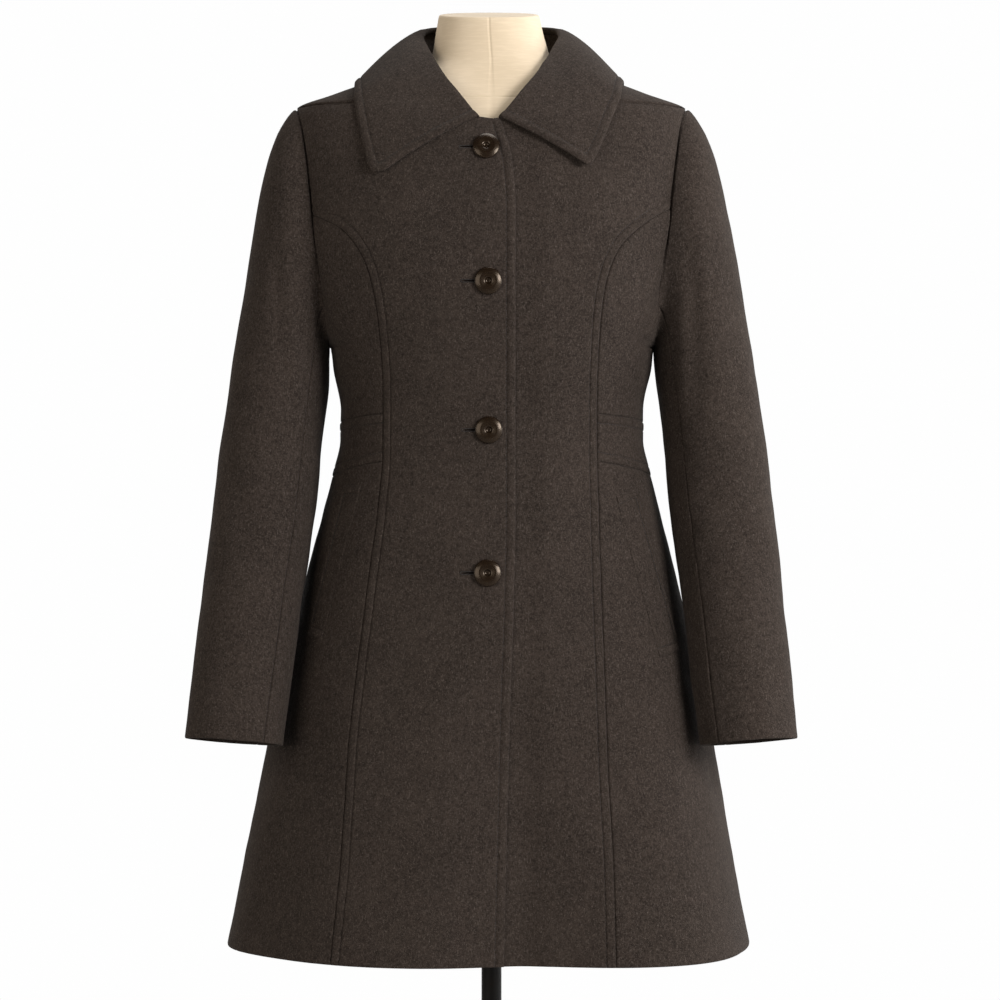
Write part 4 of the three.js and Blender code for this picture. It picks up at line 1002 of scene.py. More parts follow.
def sleeve_wall(side, start, end, middle):
    """Part of a sleeve between two seams that run from the armhole to the cuff."""

    def surface(turn, at):
        return sleeve_point(side, turn, at)

    fine = np.linspace(0, LAST_RING, 600)
    lines = surface(np.linspace(start, end, 9)[None, :], fine[:, None])
    run = np.concatenate([[0], np.cumsum(length_of(np.diff(lines, axis=0)).mean(axis=1))])
    down = heights([(0,), (run[-1], 0.0048)])
    at = np.interp(down, run, fine)
    inset = HALF_SEAM / SLEEVE_SEAM_RADIUS
    ones = np.ones_like(at)
    ends = ((start + inset) * ones, at), ((end - inset) * ones, at)
    turn, at = lay_out(surface, *ends, (ones, ones), (BESIDE_PLAIN, BESIDE_PLAIN), middle)
    base = surface(turn, at)
    normals = side * normals_of(surface, turn, np.clip(at, 0.02, LAST_RING - 0.02), 0.004, 0.02)
    creases = SLEEVE_CREASES_RIGHT if side < 0 else SLEEVE_CREASES_LEFT
    down = np.broadcast_to(down[:, None], turn.shape)
    relief = crease_relief(creases, turn, down, SLEEVE_RADIUS)
    relief = relief + UNEVEN_SLOW * waves(base, 0.08, 71 + side) + UNEVEN_FINE * waves(base, 0.03, 73 + side)
    relief = relief * smoothstep(down, 0, 0.03) * coat().crease_strength
    base = base + normals * relief[..., None]
    near_armhole = 1 - smoothstep(down, 0, NEAR_ARMHOLE)
    beside_body = np.maximum(1 - smoothstep(np.abs(base[..., 0]), *NEAR_BODY), near_armhole)
    inward = normals.copy()
    outward_x = side * normals[..., 0]
    inward[..., 0] = side * (outward_x - beside_body * np.maximum(0, outward_x))
    edges = [
        ("a", "seam", ALL_ROWS, None),
        ("b", "seam", ALL_ROWS, None),
        ("bottom", "seam", ALL_ROWS, None),
        ("top", "fold", ALL_ROWS, None),
    ]
    outer, inner, _ = sewn_wall(base, normals, edges, seed=80 + side, inward=unit(inward))
    return tucked_in(outer, inner)


def tucked_in(outer, inner):
    """Adds the seam allowance that runs from the top of a sleeve under the panels round the armhole."""
    line = outer[0]
    out = away_from_body(line)[1]
    across = unit(np.cross(out, np.gradient(line, axis=0)))
    towards = np.array([0, 0, 1.0]) - line
    across = across * np.sign((across * towards).sum(-1))[:, None]
    rows = [line + across * reach - out * ALLOWANCE_SUNK for reach in (ALLOWANCE, ALLOWANCE * 0.5, 0.0012)]
    rows.append(line - out * ALLOWANCE_SUNK / 2)
    rows = np.stack(rows)
    return np.concatenate([rows, outer]), np.concatenate([rows - out * ALLOWANCE_THICK, inner])


def away_from_body(p):
    """Distance of points from the body cloth, and the way straight out of it."""

    def level(q):
        x, y, z = np.moveaxis(q, -1, 0)
        depth = np.where(y < 0, body_front(z), body_back(z))
        a = np.abs((x - body_mid(z)) / body_half(z)) ** SLICE_POWER
        return (a + np.abs(y / depth) ** SLICE_POWER) ** (1 / SLICE_POWER) - 1

    e = 0.0005
    steps = np.eye(3) * e
    out = np.stack([level(p + s) - level(p - s) for s in steps], axis=-1) / (2 * e)
    steep = length_of(out)
    return level(p) / steep, out / steep[..., None]


def push_to(p, wanted, only_out):
    """Points moved to a wanted distance from the body cloth, or only out to it."""
    for _ in range(6):
        distance, out = away_from_body(p)
        step = (wanted - distance) * 0.8
        if only_out:
            step = np.maximum(step, 0)
        p = p + out * step[..., None]
    return p


def collar_columns(table):
    """Smooth values of a collar table by the share of the way from the centre front to the back."""
    rows = [(i / (len(table) - 1), *row) for i, row in enumerate(table)]
    return [column(rows, i) for i in range(1, 11)]


COLLAR_SIDES = {-1: collar_columns(COLLAR_LEFT), 1: collar_columns(COLLAR_RIGHT)}
COLLAR_POINT_ROUND = {-1: 0.0085, 1: 0.0035}
# Radius of the roll, at the fronts and behind them, and how far its inner side runs down.
ROLL_TURN_FRONT = 0.0016
ROLL_TURN = 0.0030
ROLL_DROP = 0.0022
ROLL_GROWS = (0.05, 0.25)


def collar_point(side, at, down):
    """Point of the collar: at runs from the centre front to the centre back, down from the roll."""
    values = [f(at) for f in COLLAR_SIDES[side]]
    roll, bulge, edge = (np.stack(values[i : i + 3], axis=-1) for i in (0, 3, 6))
    off = values[9]
    edge = push_to(edge, off, only_out=False)
    t = down[..., None]
    p = roll * (1 - t) ** 2 + bulge * 2 * t * (1 - t) + edge * t**2
    return push_to(p, COLLAR_CLEAR + (off - COLLAR_CLEAR) * down**2, only_out=True)


def collar_normal(side, at, down):
    def surface(u, v):
        return collar_point(side, u, v)

    return -side * normals_of(surface, np.clip(at, 0.011, 0.989), np.clip(down, 0.021, 0.979), 0.01, 0.02)


def round_point(at, down, pace, drop, radius):
    """Rounds the collar's point by drawing the corner of its grid inwards."""
    u = np.clip(1 - at * pace / radius, 0, 1)
    v = np.clip(1 - (1 - down) * drop / radius, 0, 1)
    in_corner = (u > 0) & (v > 0)
    at = np.where(in_corner, (1 - u * np.sqrt(1 - v**2 / 2)) * radius / pace, at)
    down = np.where(in_corner, 1 - (1 - v * np.sqrt(1 - u**2 / 2)) * radius / drop, down)
    return at, down


def collar_half(side):
    """Grid of one leaf of the collar from its point to the centre back, with its normals."""
    fine = np.linspace(0, 1, 300)
    edge_run = along_line(collar_point(side, fine, np.ones_like(fine)))
    roll_run = along_line(collar_point(side, fine, np.zeros_like(fine)))
    run = (edge_run + roll_run) / 2
    at = np.interp(heights([(0,), (run[-1], 0.0045)], BESIDE_STITCHED, (0,)), run, fine)

    def surface(u, v):
        return collar_point(side, u, v)

    ones = np.ones_like(at)
    at, down = lay_out(surface, (at, 0 * ones), (at, ones), (ones, ones), ((0,), BESIDE_STITCHED), 15)
    pace = edge_run[np.searchsorted(fine, 0.06)] / 0.06
    drop = along_line(surface(np.zeros(40), np.linspace(0, 1, 40)))[-1]
    at, down = round_point(at, down, pace, drop, COLLAR_POINT_ROUND[side])
    return surface(at, down), collar_normal(side, at, down), at


def collar_grid():
    """Whole collar from the left leaf's point round the neck to the right leaf's."""
    left, left_normal, left_at = collar_half(-1)
    right, right_normal, right_at = collar_half(1)
    base = np.concatenate([left, right[-2::-1]])
    normals = np.concatenate([left_normal, right_normal[-2::-1]])
    at = np.concatenate([left_at[:, 0], right_at[-2::-1, 0]])
    return base, unit(normals), at


def roll_over(base, normals, at, thick):
    """Columns that carry the collar over its roll and down inside, outer and inner face."""
    up = unit(base[:, 0] - base[:, 2])
    out = unit(normals[:, 0] - up * (normals[:, 0] * up).sum(-1)[:, None])
    radius = ROLL_TURN_FRONT + (ROLL_TURN - ROLL_TURN_FRONT) * smoothstep(at, *ROLL_GROWS)
    centre = base[:, 0] - out * radius[:, None]
    outer, inner = [], []
    for turn in np.linspace(math.pi, 0, 11)[:-1]:
        way = out * math.cos(turn) + up * math.sin(turn)
        outer.append(centre + way * radius[:, None])
        inner.append(centre + way * np.maximum(radius - thick, 0.0002)[:, None])
    drop = ROLL_DROP * smoothstep(at, *ROLL_GROWS)[:, None] * up
    outer = [outer[0] - drop, *outer]
    inner = [inner[0] - drop, *inner]
    return np.stack(outer, axis=1), np.stack(inner, axis=1)


def collar_fall(look):
    """Turned-down fall with its roll, stitched inside its edges."""
    base, normals, at = collar_grid()
    base = base + normals * (UNEVEN_SLOW * waves(base, 0.075, 91) * coat().crease_strength)[..., None]
    edges = [
        ("bottom", "stitched fold", ALL_ROWS, None),
        ("top", "stitched fold", ALL_ROWS, None),
        ("b", "stitched fold", ALL_ROWS, None),
    ]
    outer, inner, paths = sewn_wall(base, normals, edges, thick=COLLAR_CLOTH, seed=90)
    roll_outer, roll_inner = roll_over(outer, normals, at, COLLAR_CLOTH)
    outer = np.concatenate([roll_outer, outer], axis=1)
    inner = np.concatenate([roll_inner, inner], axis=1)
    cloth_object("collar_fall", outer, inner, look)
    return paths, base, normals, at


STAND_START = 0.31
# How far the top of the stand lies inside the roll and below it, and how far the stand bows.
STAND_INSIDE = 0.0034
STAND_BELOW = 0.0030
STAND_BOW = 0.0012
stand_x, stand_y, stand_z, stand_off = (column(STAND_FEET, i) for i in (1, 2, 3, 4))


def collar_stand(base, normals, at, look):
    """Stand that rises from the neckline and ends under the roll."""
    rows = at >= STAND_START
    side = np.where(np.arange(len(at)) <= np.argmax(at), -1, 1)[rows]
    at = at[rows]
    up = unit(base[rows, 0] - base[rows, 2])
    top = base[rows, 0] - normals[rows, 0] * STAND_INSIDE - up * STAND_BELOW
    foot = np.stack([side * stand_x(at), stand_y(at), stand_z(at)], axis=-1)
    foot = push_to(foot, stand_off(at), only_out=False)
    share = np.linspace(0, 1, 11)[None, :, None]
    outer = foot[:, None] + (top - foot)[:, None] * share
    along = np.gradient(outer, axis=0)
    rise = np.gradient(outer, axis=1)
    inward = unit(np.cross(along, rise))
    towards_neck = -unit(outer * np.array([1, 1, 0]))
    inward = inward * np.sign((inward * towards_neck).sum(-1, keepdims=True))
    bow = STAND_BOW * np.sin(np.pi * share) * inward
    outer = outer + bow
    cloth_object("collar_stand", outer, outer + inward * STAND_CLOTH, look)


def turned(name, profile, segments, look, place=(0, 0, 0), way=(0, 0, 1)):
    """Round solid from a profile of radius and height, with its axis through a place."""
    profile = np.array(profile)
    turn = np.linspace(0, math.tau, segments, endpoint=False)
    rings = profile[profile[:, 0] > 0]
    x = rings[:, :1] * np.cos(turn)
    y = rings[:, :1] * np.sin(turn)
    z = np.repeat(rings[:, 1:], segments, axis=1)
    points = np.stack([x, y, z], axis=-1).reshape(-1, 3)
    points = np.concatenate([points, [[0, 0, profile[0, 1]], [0, 0, profile[-1, 1]]]])
    faces = grid_faces(len(rings), segments, closed=True).tolist()
    foot, crown = len(points) - 2, len(points) - 1
    last = (len(rings) - 1) * segments
    for i in range(segments):
        after = (i + 1) % segments
        faces.append([foot, after, i])
        faces.append([crown, last + i, last + after])
    turning = np.array(Vector((0, 0, 1)).rotation_difference(Vector(way)).to_matrix())
    return mesh_object(name, points @ turning.T + np.array(place), faces, look)


def rounded(profile, rounds):
    """Profile with each corner cut round by a radius, in four steps."""
    made = [profile[0]]
    for before, corner, after, radius in zip(profile, profile[1:], profile[2:], rounds):
        here = np.array(corner)
        a, b = np.array(before) - here, np.array(after) - here
        reach = min(radius, 0.45 * np.linalg.norm(a), 0.45 * np.linalg.norm(b))
        start, end = here + a / np.linalg.norm(a) * reach, here + b / np.linalg.norm(b) * reach
        for t in np.linspace(0, 1, 5):
            made.append(tuple(start * (1 - t) ** 2 + here * 2 * t * (1 - t) + end * t**2))
    made.append(profile[-1])
    return made


# Button centres on the over front, from the top one down.
BUTTONS = {
    "button_1": (-0.0047, 1.311),
    "button_2": (-0.0027, 1.180),
    "button_3": (-0.0022, 1.0375),
    "button_4": (-0.0034, 0.900),
}
BUTTON_THICK = 0.005
SHANK_WIDTH = 0.0034
BUTTONHOLE_LONG = 0.025
BUTTONHOLE_START = 0.0030
# Stitches of a buttonhole: one every so far, from the slit outwards, and how far they stand up.
HOLE_STITCH_EVERY = 0.0008
HOLE_STITCH_IN = 0.0005
HOLE_STITCH_OUT = 0.0021
HOLE_STITCH_UP = 0.0001
HOLE_STITCH_LENGTH = 0.0015
# Width of the painted shadow strip at the button and at its other end, its rise, and its points along.
SLIT_WIDE = (0.0017, 0.0006)
SLIT_UP = 0.00022
SLIT_POINTS = 40


def on_front(x, z):
    """Place and way out of the over front at a point."""
    x, z = np.asarray(x, float), np.asarray(z, float)
    angle = angle_at(x, z)
    out = body_normals(angle, z)
    return body_point(angle, z) + out * body_relief(angle, z)[..., None], out


def dished_button(name, x, z, look):
    """Dished button with a rolled rim, a sunk ring and a hollow in the middle, on a shank."""
    r = coat().button_width / 2
    place, out = on_front(x, z)
    shank, foot = SHANK_WIDTH / 2, 0.0004 - LAP_STEP
    profile = [
        (0, foot), (shank, foot), (shank, 0.0006), (r * 0.70, 0.0006), (r * 0.96, 0.0010),
        (r, 0.0018), (r * 0.985, 0.0027), (r * 0.93, 0.0034), (r * 0.84, 0.0040), (r * 0.72, 0.0046),
        (r * 0.61, BUTTON_THICK), (r * 0.53, 0.0049), (r * 0.45, 0.0047), (r * 0.37, 0.0045),
        (r * 0.30, 0.0043), (r * 0.24, 0.0038), (r * 0.18, 0.0024), (r * 0.09, 0.0019), (0, 0.0021),
    ]
    rounds = [0.0002, 0.0005] + [0.0016] * 15
    made = turned(f"{name}_dished", rounded(profile, rounds), 64, look, place, out)
    fit_on(made, name)


def buttonhole(name, x, z, thread, shadow):
    """Worked buttonhole beside a button: a dark strip of painted shadow for its opening, between two rows of
    close stitches.
    """
    start, end = x - BUTTONHOLE_START, x - BUTTONHOLE_LONG
    across = np.linspace(start, end, SLIT_POINTS)
    paths = []
    for side in (-1, 1):
        for at in np.arange(end, start, HOLE_STITCH_EVERY):
            spots = np.array([z + side * HOLE_STITCH_IN, z + side * HOLE_STITCH_OUT])
            line, out = on_front(np.array([at, at]), spots)
            paths.append((line + out * HOLE_STITCH_UP, out))
    for turn in np.linspace(-math.pi / 2, math.pi / 2, 7)[1:-1]:
        spots = np.array([HOLE_STITCH_IN, HOLE_STITCH_OUT])
        line, out = on_front(end - spots * math.cos(turn), z + spots * math.sin(turn))
        paths.append((line + out * HOLE_STITCH_UP, out))
    topstitching(name, paths, thread, spacing=HOLE_STITCH_LENGTH)
    line, out = on_front(across, np.full_like(across, z))
    count = np.arange(SLIT_POINTS)
    pointed = np.minimum(1, np.minimum(count, SLIT_POINTS - 1 - count) / 4)
    wide = np.linspace(*SLIT_WIDE, SLIT_POINTS) * pointed
    lift = out * SLIT_UP
    above = np.array([0, 0, 1])
    rows = [
        line + lift * k + above * (wide * s)[:, None] for s, k in ((-1, -1), (-0.6, 1), (0.6, 1), (1, -1))
    ]
    # The strip lies on the uncut front; its near-black colour is painted shadow.
    slit_painted_shadow = mesh_object(f"{name}_slit", np.concatenate(rows), grid_faces(4, SLIT_POINTS), shadow)
    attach(slit_painted_shadow, BODY_NAME)


FORM_AROUND = 128
FORM_SEAM_WIDE = 0.0009
FORM_SEAM_DEEP = 0.0007
NECK_SEAM = 1.3655
NECK_CROWN = 0.0004


def dress_form(look):
    """Muslin form with a sewn seam down the front, back and sides and one round the foot of the neck."""
    mid, half, front, back, lean = (column(FORM, i) for i in range(1, 6))
    z = np.concatenate(
        [
            np.arange(0.8505, 1.340, 0.0080),
            np.arange(1.340, 1.361, 0.0022),
            np.arange(1.361, 1.370, 0.00045),
            np.arange(1.370, 1.4535, 0.0024),
            [1.4538, 1.4544, 1.4548, 1.4550],
        ]
    )
    turn = np.linspace(0, math.tau, FORM_AROUND * 2, endpoint=False)
    near_front = (turn + math.pi) % math.tau - math.pi
    turn = turn - 0.55 * np.sin(near_front * 2) / 2
    z, turn = z[:, None], turn[None, :]
    s, c = np.sin(turn), np.cos(turn)
    x = np.sign(s) * np.abs(s) ** (2 / SLICE_POWER) * half(z)
    y = -np.sign(c) * np.abs(c) ** (2 / SLICE_POWER) * np.where(c > 0, front(z), back(z))
    size = np.hypot(x, y)
    beside_seam = np.minimum(np.abs(x), np.where(np.abs(x) > 0.5 * half(z), np.abs(y), 1))
    sunk = np.exp(-((beside_seam / FORM_SEAM_WIDE) ** 2))
    sunk = np.maximum(sunk, np.exp(-(((z - NECK_SEAM - 0.02 * y) / FORM_SEAM_WIDE) ** 2)))
    edge = np.clip((z - 1.4530) / 0.0020, 0, 1)
    inset = FORM_SEAM_DEEP * sunk + 0.0018 * (1 - np.sqrt(1 - edge**2))
    push = 1 - inset / size
    points = np.stack([mid(z) + x * push, y * push, z + lean(z) * y], axis=-1)
    rows, cols = points.shape[:2]
    faces = grid_faces(rows, cols, closed=True).tolist()
    crown = points[-1]
    middle = crown.mean(axis=0)
    rise = np.array([0, 0, NECK_CROWN])
    caps = [middle + (crown - middle) * share + rise * (1 - share) for share in (0.93, 0.6, 0.3)]
    for i in range(len(caps)):
        faces += grid_faces(2, cols, (rows - 1 + i) * cols, closed=True).tolist()
    flat = np.concatenate([points.reshape(-1, 3), *caps, [middle + rise], [[0, 0, z[0, 0]]]])
    tip, foot = len(flat) - 2, len(flat) - 1
    last = (rows - 1 + len(caps)) * cols
    for i in range(cols):
        after = (i + 1) % cols
        faces.append([tip, last + i, last + after])
        faces.append([foot, after, i])
    fit_on(mesh_object("dress_form", flat, faces, look), "form_body")


# Pole and base of the stand, and the foot of the form on it.
POLE_WIDTH = 0.020
POLE_GAP = 0.0003
BASE_WIDTH = 0.380
BASE_THICK = 0.014
BOSS_WIDTH = 0.044
BOSS_HEIGHT = 0.042
FORM_FOOT = 0.850


def stand_pole(look):
    """Pole from the base up into the form."""
    r = POLE_WIDTH / 2
    bottom, top = BASE_THICK + POLE_GAP, FORM_FOOT - POLE_GAP
    profile = [(0, bottom), (r, bottom), (r, top), (0, top)]
    made = turned("stand_pole", rounded(profile, [0.0006, 0.0006]), 64, look)
    fit_on(made, "pole")


def stand_foot(look):
    """Heavy round base with a boss that takes the pole."""
    r, boss, bore = BASE_WIDTH / 2, BOSS_WIDTH / 2, POLE_WIDTH / 2 + POLE_GAP
    profile = [
        (0, 0), (r - 0.001, 0), (r, 0.0015), (r, BASE_THICK - 0.004), (r - 0.004, BASE_THICK),
        (boss + 0.004, BASE_THICK + 0.0008), (boss, BASE_THICK + 0.004), (boss - 0.0015, BOSS_HEIGHT),
        (bore, BOSS_HEIGHT), (bore, BASE_THICK), (0, BASE_THICK),
    ]
    rounds = [0.0004, 0.0010, 0.0030, 0.0030, 0.0030, 0.0030, 0.0020, 0.0004, 0.0002]
    fit_on(turned("stand_foot", rounded(profile, rounds), 128, look), "stand_base")


class Value:
    """Shader socket that takes part in Python arithmetic, each sign adding its Math node."""

    def __init__(self, look, socket):
        self.look = look
        self.socket = socket

    def _math(self, operation, first, second):
        return self.look.node("ShaderNodeMath", {"operation": operation}, {0: first, 1: second})

    def __add__(self, other):
        return self._math("ADD", self, other)

    def __radd__(self, other):
        return self._math("ADD", other, self)

    def __mul__(self, other):
        return self._math("MULTIPLY", self, other)

    def __rmul__(self, other):
        return self._math("MULTIPLY", other, self)


class Look:
    """Material in the making, with one method for any node."""

    def __init__(self, name):
        self.material = bpy.data.materials.new(name)
        self.material.use_nodes = True
        self.tree = self.material.node_tree
        self.tree.nodes.clear()

    def node(self, kind, settings=None, sockets=None, out=0):
        """Adds a node: its settings first, then values or links for its sockets by name or number."""
        made = self.tree.nodes.new(kind)
        for key, value in (settings or {}).items():
            setattr(made, key, value)
        for key, value in (sockets or {}).items():
            if isinstance(value, Value):
                self.tree.links.new(value.socket, made.inputs[key])
            else:
                made.inputs[key].default_value = value
        return Value(self, made.outputs[out]) if len(made.outputs) else made

    def place(self):
        return self.node("ShaderNodeTexCoord", out="Object")

    def noise(self, where, scale, detail, rough, distortion=0.0):
        sockets = {"Vector": where, "Scale": scale, "Detail": detail}
        sockets |= {"Roughness": rough, "Distortion": distortion}
        return self.node("ShaderNodeTexNoise", {}, sockets)

    def stretched(self, where, turn, size):
        return self.node("ShaderNodeMapping", {}, {"Vector": where, "Rotation": turn, "Scale": size})

    def between(self, value, low, high):
        """0 below low and 1 above high, smooth between."""
        sockets = {"Value": value, "From Min": low, "From Max": high}
        return self.node("ShaderNodeMapRange", {"interpolation_type": "SMOOTHSTEP"}, sockets)

    def blend(self, share, first, second):
        """Colour between two colours."""
        return self.node("ShaderNodeMix", {"data_type": "RGBA"}, {0: share, 6: first, 7: second}, out=2)

    def bump(self, height, strength, distance):
        sockets = {"Strength": strength, "Distance": distance, "Height": height}
        return self.node("ShaderNodeBump", {}, sockets)

    def finish(self, **sockets):
        """Closes the material with its surface shader, sockets named with spaces as underscores."""
        named = {key.replace("_", " "): value for key, value in sockets.items()}
        surface = self.node("ShaderNodeBsdfPrincipled", {}, named)
        self.node("ShaderNodeOutputMaterial", {}, {"Surface": surface})
        return self.material


def colour(value):
    return (*value, 1)


def wool_look(name):
    """Felted melton: dark heather with light fibres, slow clouds of tone and a soft nap."""
    sewing = coat()
    look = Look(name)
    place = look.place()
    clouds = look.noise(place, 16, 3, 0.5)
    patches = look.noise(place, 160, 3, 0.6)
    grain = look.noise(place, 450, 3, 0.65)
    fibre_a = look.noise(look.stretched(place, (0.3, 0.5, 0.4), (420, 420, 1500)), 1, 1.5, 0.5)
    fibre_b = look.noise(look.stretched(place, (1.2, -0.4, 0.9), (1500, 500, 420)), 1, 1.5, 0.5)
    fibre_c = look.noise(look.stretched(place, (0.7, 0.2, -0.8), (900, 900, 260)), 1, 1.5, 0.5)
    flecks = look.between(fibre_a, 0.57, 0.72) + look.between(fibre_b, 0.58, 0.74)
    flecks = flecks + look.between(fibre_c, 0.56, 0.74)
    tint = look.between(clouds, 0.34, 0.68) * 0.13 + look.between(patches, 0.30, 0.70) * 0.25
    tint = tint + look.between(grain, 0.25, 0.75) * 0.62
    ground = look.blend(tint, colour(sewing.wool_dark), colour(sewing.wool_light))
    mixed = look.blend(flecks * sewing.fleck_strength, ground, colour(sewing.wool_fleck))
    nap = look.noise(place, 900, 3, 0.65)
    felt = look.noise(place, 240, 3, 0.6)
    normal = look.bump(nap * 0.6 + felt * 0.4 + flecks * 0.12, 0.55, 0.00045)
    return look.finish(
        Base_Color=mixed,
        Roughness=0.92,
        Specular_IOR_Level=0.12,
        Sheen_Weight=sewing.wool_sheen,
        Sheen_Roughness=0.55,
        Sheen_Tint=(0.86, 0.78, 0.72, 1),
        Normal=normal,
    )


def thread_look(name, tone):
    """Twisted sewing thread, darker than the cloth by painted groove shade and by a tone."""
    look = Look(name)
    place = look.place()
    twist = look.noise(place, 2600, 1, 0.5)
    # Painted shade: both thread colours lie well below the cloth's, so the stitching reads as a dark groove.
    dark = colour(tuple(c * 0.55 * tone for c in coat().wool_dark))
    light = colour(tuple(c * 0.38 * tone for c in coat().wool_light))
    return look.finish(
        Base_Color=look.blend(twist, dark, light),
        Roughness=0.7,
        Normal=look.bump(twist, 0.4, 0.0001),
    )


def slit_look():
    """Cut edge and shadow inside a buttonhole."""
    look = Look("Cut wool in shadow")
    fibre = look.noise(look.place(), 1800, 2, 0.6)
    return look.finish(
        Base_Color=look.blend(fibre, (0.003, 0.002, 0.002, 1), (0.009, 0.007, 0.006, 1)),
        Roughness=0.95,
        Specular_IOR_Level=0.0,
    )


def button_look():
    """Polished dark brown button with faint streaks through it."""
    look = Look("Polished brown button")
    place = look.place()
    streaks = look.noise(look.stretched(place, (0.2, 0.1, 0.5), (160, 160, 620)), 1, 3, 0.6, 0.8)
    specks = look.noise(place, 1500, 2, 0.6)
    share = look.between(streaks, 0.35, 0.70) * 0.75 + look.between(specks, 0.55, 0.75) * 0.25
    base = look.blend(share, colour(coat().button_dark), colour(coat().button_light))
    fine = look.noise(place, 700, 2, 0.5)
    return look.finish(
        Base_Color=base,
        Roughness=0.23 + fine * 0.08,
        Specular_IOR_Level=0.38,
        Specular_Tint=(1.0, 0.80, 0.62, 1),
        Coat_Weight=0.06,
        Coat_Roughness=0.12,
        Normal=look.bump(fine, 0.06, 0.0002),
    )


def muslin_look():
    """Unbleached plain-woven muslin stretched over the form."""
    look = Look("Cream muslin")
    place = look.place()
    threads = {"Vector": place, "Scale": 300.0, "Distortion": 1.2, "Detail": 2.0, "Detail Scale": 2.0}
    across, upright = (
        look.node("ShaderNodeTexWave", {"wave_type": "BANDS", "bands_direction": way}, threads)
        for way in "ZX"
    )
    weave = across * 0.5 + upright * 0.5
    slubs = look.noise(look.stretched(place, (0, 0, 0), (60, 60, 700)), 1, 2, 0.6)
    clouds = look.noise(place, 14, 3, 0.5)
    share = look.between(clouds, 0.30, 0.72) * 0.45 + look.between(slubs, 0.40, 0.75) * 0.35 + weave * 0.2
    base = look.blend(share, colour(coat().muslin_dark), colour(coat().muslin_light))
    height = weave * 0.7 + slubs * 0.3
    return look.finish(
        Base_Color=base,
        Roughness=0.86,
        Specular_IOR_Level=0.25,
        Sheen_Weight=0.12,
        Sheen_Roughness=0.5,
        Normal=look.bump(height, 0.30, 0.00025),
    )


def black_look():
    """Black enamelled steel with slight orange peel and dust."""
    look = Look("Black enamel")
    place = look.place()
    peel = look.noise(place, 420, 2, 0.5)
    dust = look.between(look.noise(place, 60, 4, 0.65), 0.45, 0.80)
    base = look.blend(dust, colour(coat().stand_colour), (0.017, 0.013, 0.010, 1))
    return look.finish(
        Base_Color=base,
        Roughness=0.40 + dust * 0.14,
        Specular_IOR_Level=0.12,
        Coat_Weight=0.03,
        Coat_Roughness=0.15,
        Normal=look.bump(peel, 0.05, 0.0002),
    )


def floor_look():
    look = Look("Pale studio floor")
    soft = look.noise(look.place(), 3, 3, 0.5)
    return look.finish(
        Base_Color=look.blend(soft, (0.40, 0.40, 0.398, 1), (0.44, 0.44, 0.438, 1)),
        Roughness=0.85,
        Normal=look.bump(look.noise(look.place(), 90, 2, 0.5), 0.05, 0.0005),
    )


def softbox(name, place, aim, size, power, tint=(1, 1, 1)):
    """Square lamp turned towards a point."""
    lamp = bpy.data.lights.new(name, "AREA")
    lamp.shape = "SQUARE"
    lamp.size = size
    lamp.energy = power
    lamp.color = tint
    made = bpy.data.objects.new(name, lamp)
    made.location = place
    made.rotation_euler = (Vector(aim) - Vector(place)).to_track_quat("-Z", "Y").to_euler()
    bpy.context.scene.collection.objects.link(made)


FLOOR_RADIUS = 2.4
FLOOR_AROUND = 96
FLOOR_BELOW = 0.0002


def surroundings(light):
    """World that is white behind the coat and dimmer on its other sides and overhead."""
    world = bpy.data.worlds.new("White studio")
    world.use_nodes = True
    tree = world.node_tree
    tree.nodes.clear()

    def link(socket, wanted):
        tree.links.new(socket, wanted)

    def glow_from(axis, start, full, strength):
        """Glow that grows along one axis of the direction, from a start to its full strength."""
        fade = tree.nodes.new("ShaderNodeMapRange")
        fade.interpolation_type = "SMOOTHSTEP"
        fade.inputs["From Min"].default_value = start
        fade.inputs["From Max"].default_value = full
        fade.inputs["To Max"].default_value = strength
        link(split.outputs[axis], fade.inputs["Value"])
        return fade.outputs["Result"]

    def combined(operation, first, second):
        made = tree.nodes.new("ShaderNodeMath")
        made.operation = operation
        link(first, made.inputs[0])
        link(second, made.inputs[1])
        return made.outputs[0]

    way = tree.nodes.new("ShaderNodeTexCoord")
    split = tree.nodes.new("ShaderNodeSeparateXYZ")
    link(way.outputs["Generated"], split.inputs[0])
    round_about = glow_from("Y", 0.55, 0.85, 0.992)
    for axis, start, full, strength in (
        ("X", 0.2, 0.8, light.right), ("X", -0.2, -0.8, light.left), ("Y", -0.2, -0.8, light.front)
    ):
        round_about = combined("ADD", round_about, glow_from(axis, start, full, strength))
    round_about = combined("MULTIPLY", round_about, glow_from("Z", 0.42, 0.22, 1.0))
    overhead = glow_from("Z", 0.22, 0.42, light.ceiling)
    glow = tree.nodes.new("ShaderNodeBackground")
    glow.inputs["Color"].default_value = (1, 1, 1, 1)
    link(combined("ADD", round_about, overhead), glow.inputs["Strength"])
    end = tree.nodes.new("ShaderNodeOutputWorld")
    link(glow.outputs[0], end.inputs["Surface"])
    return world


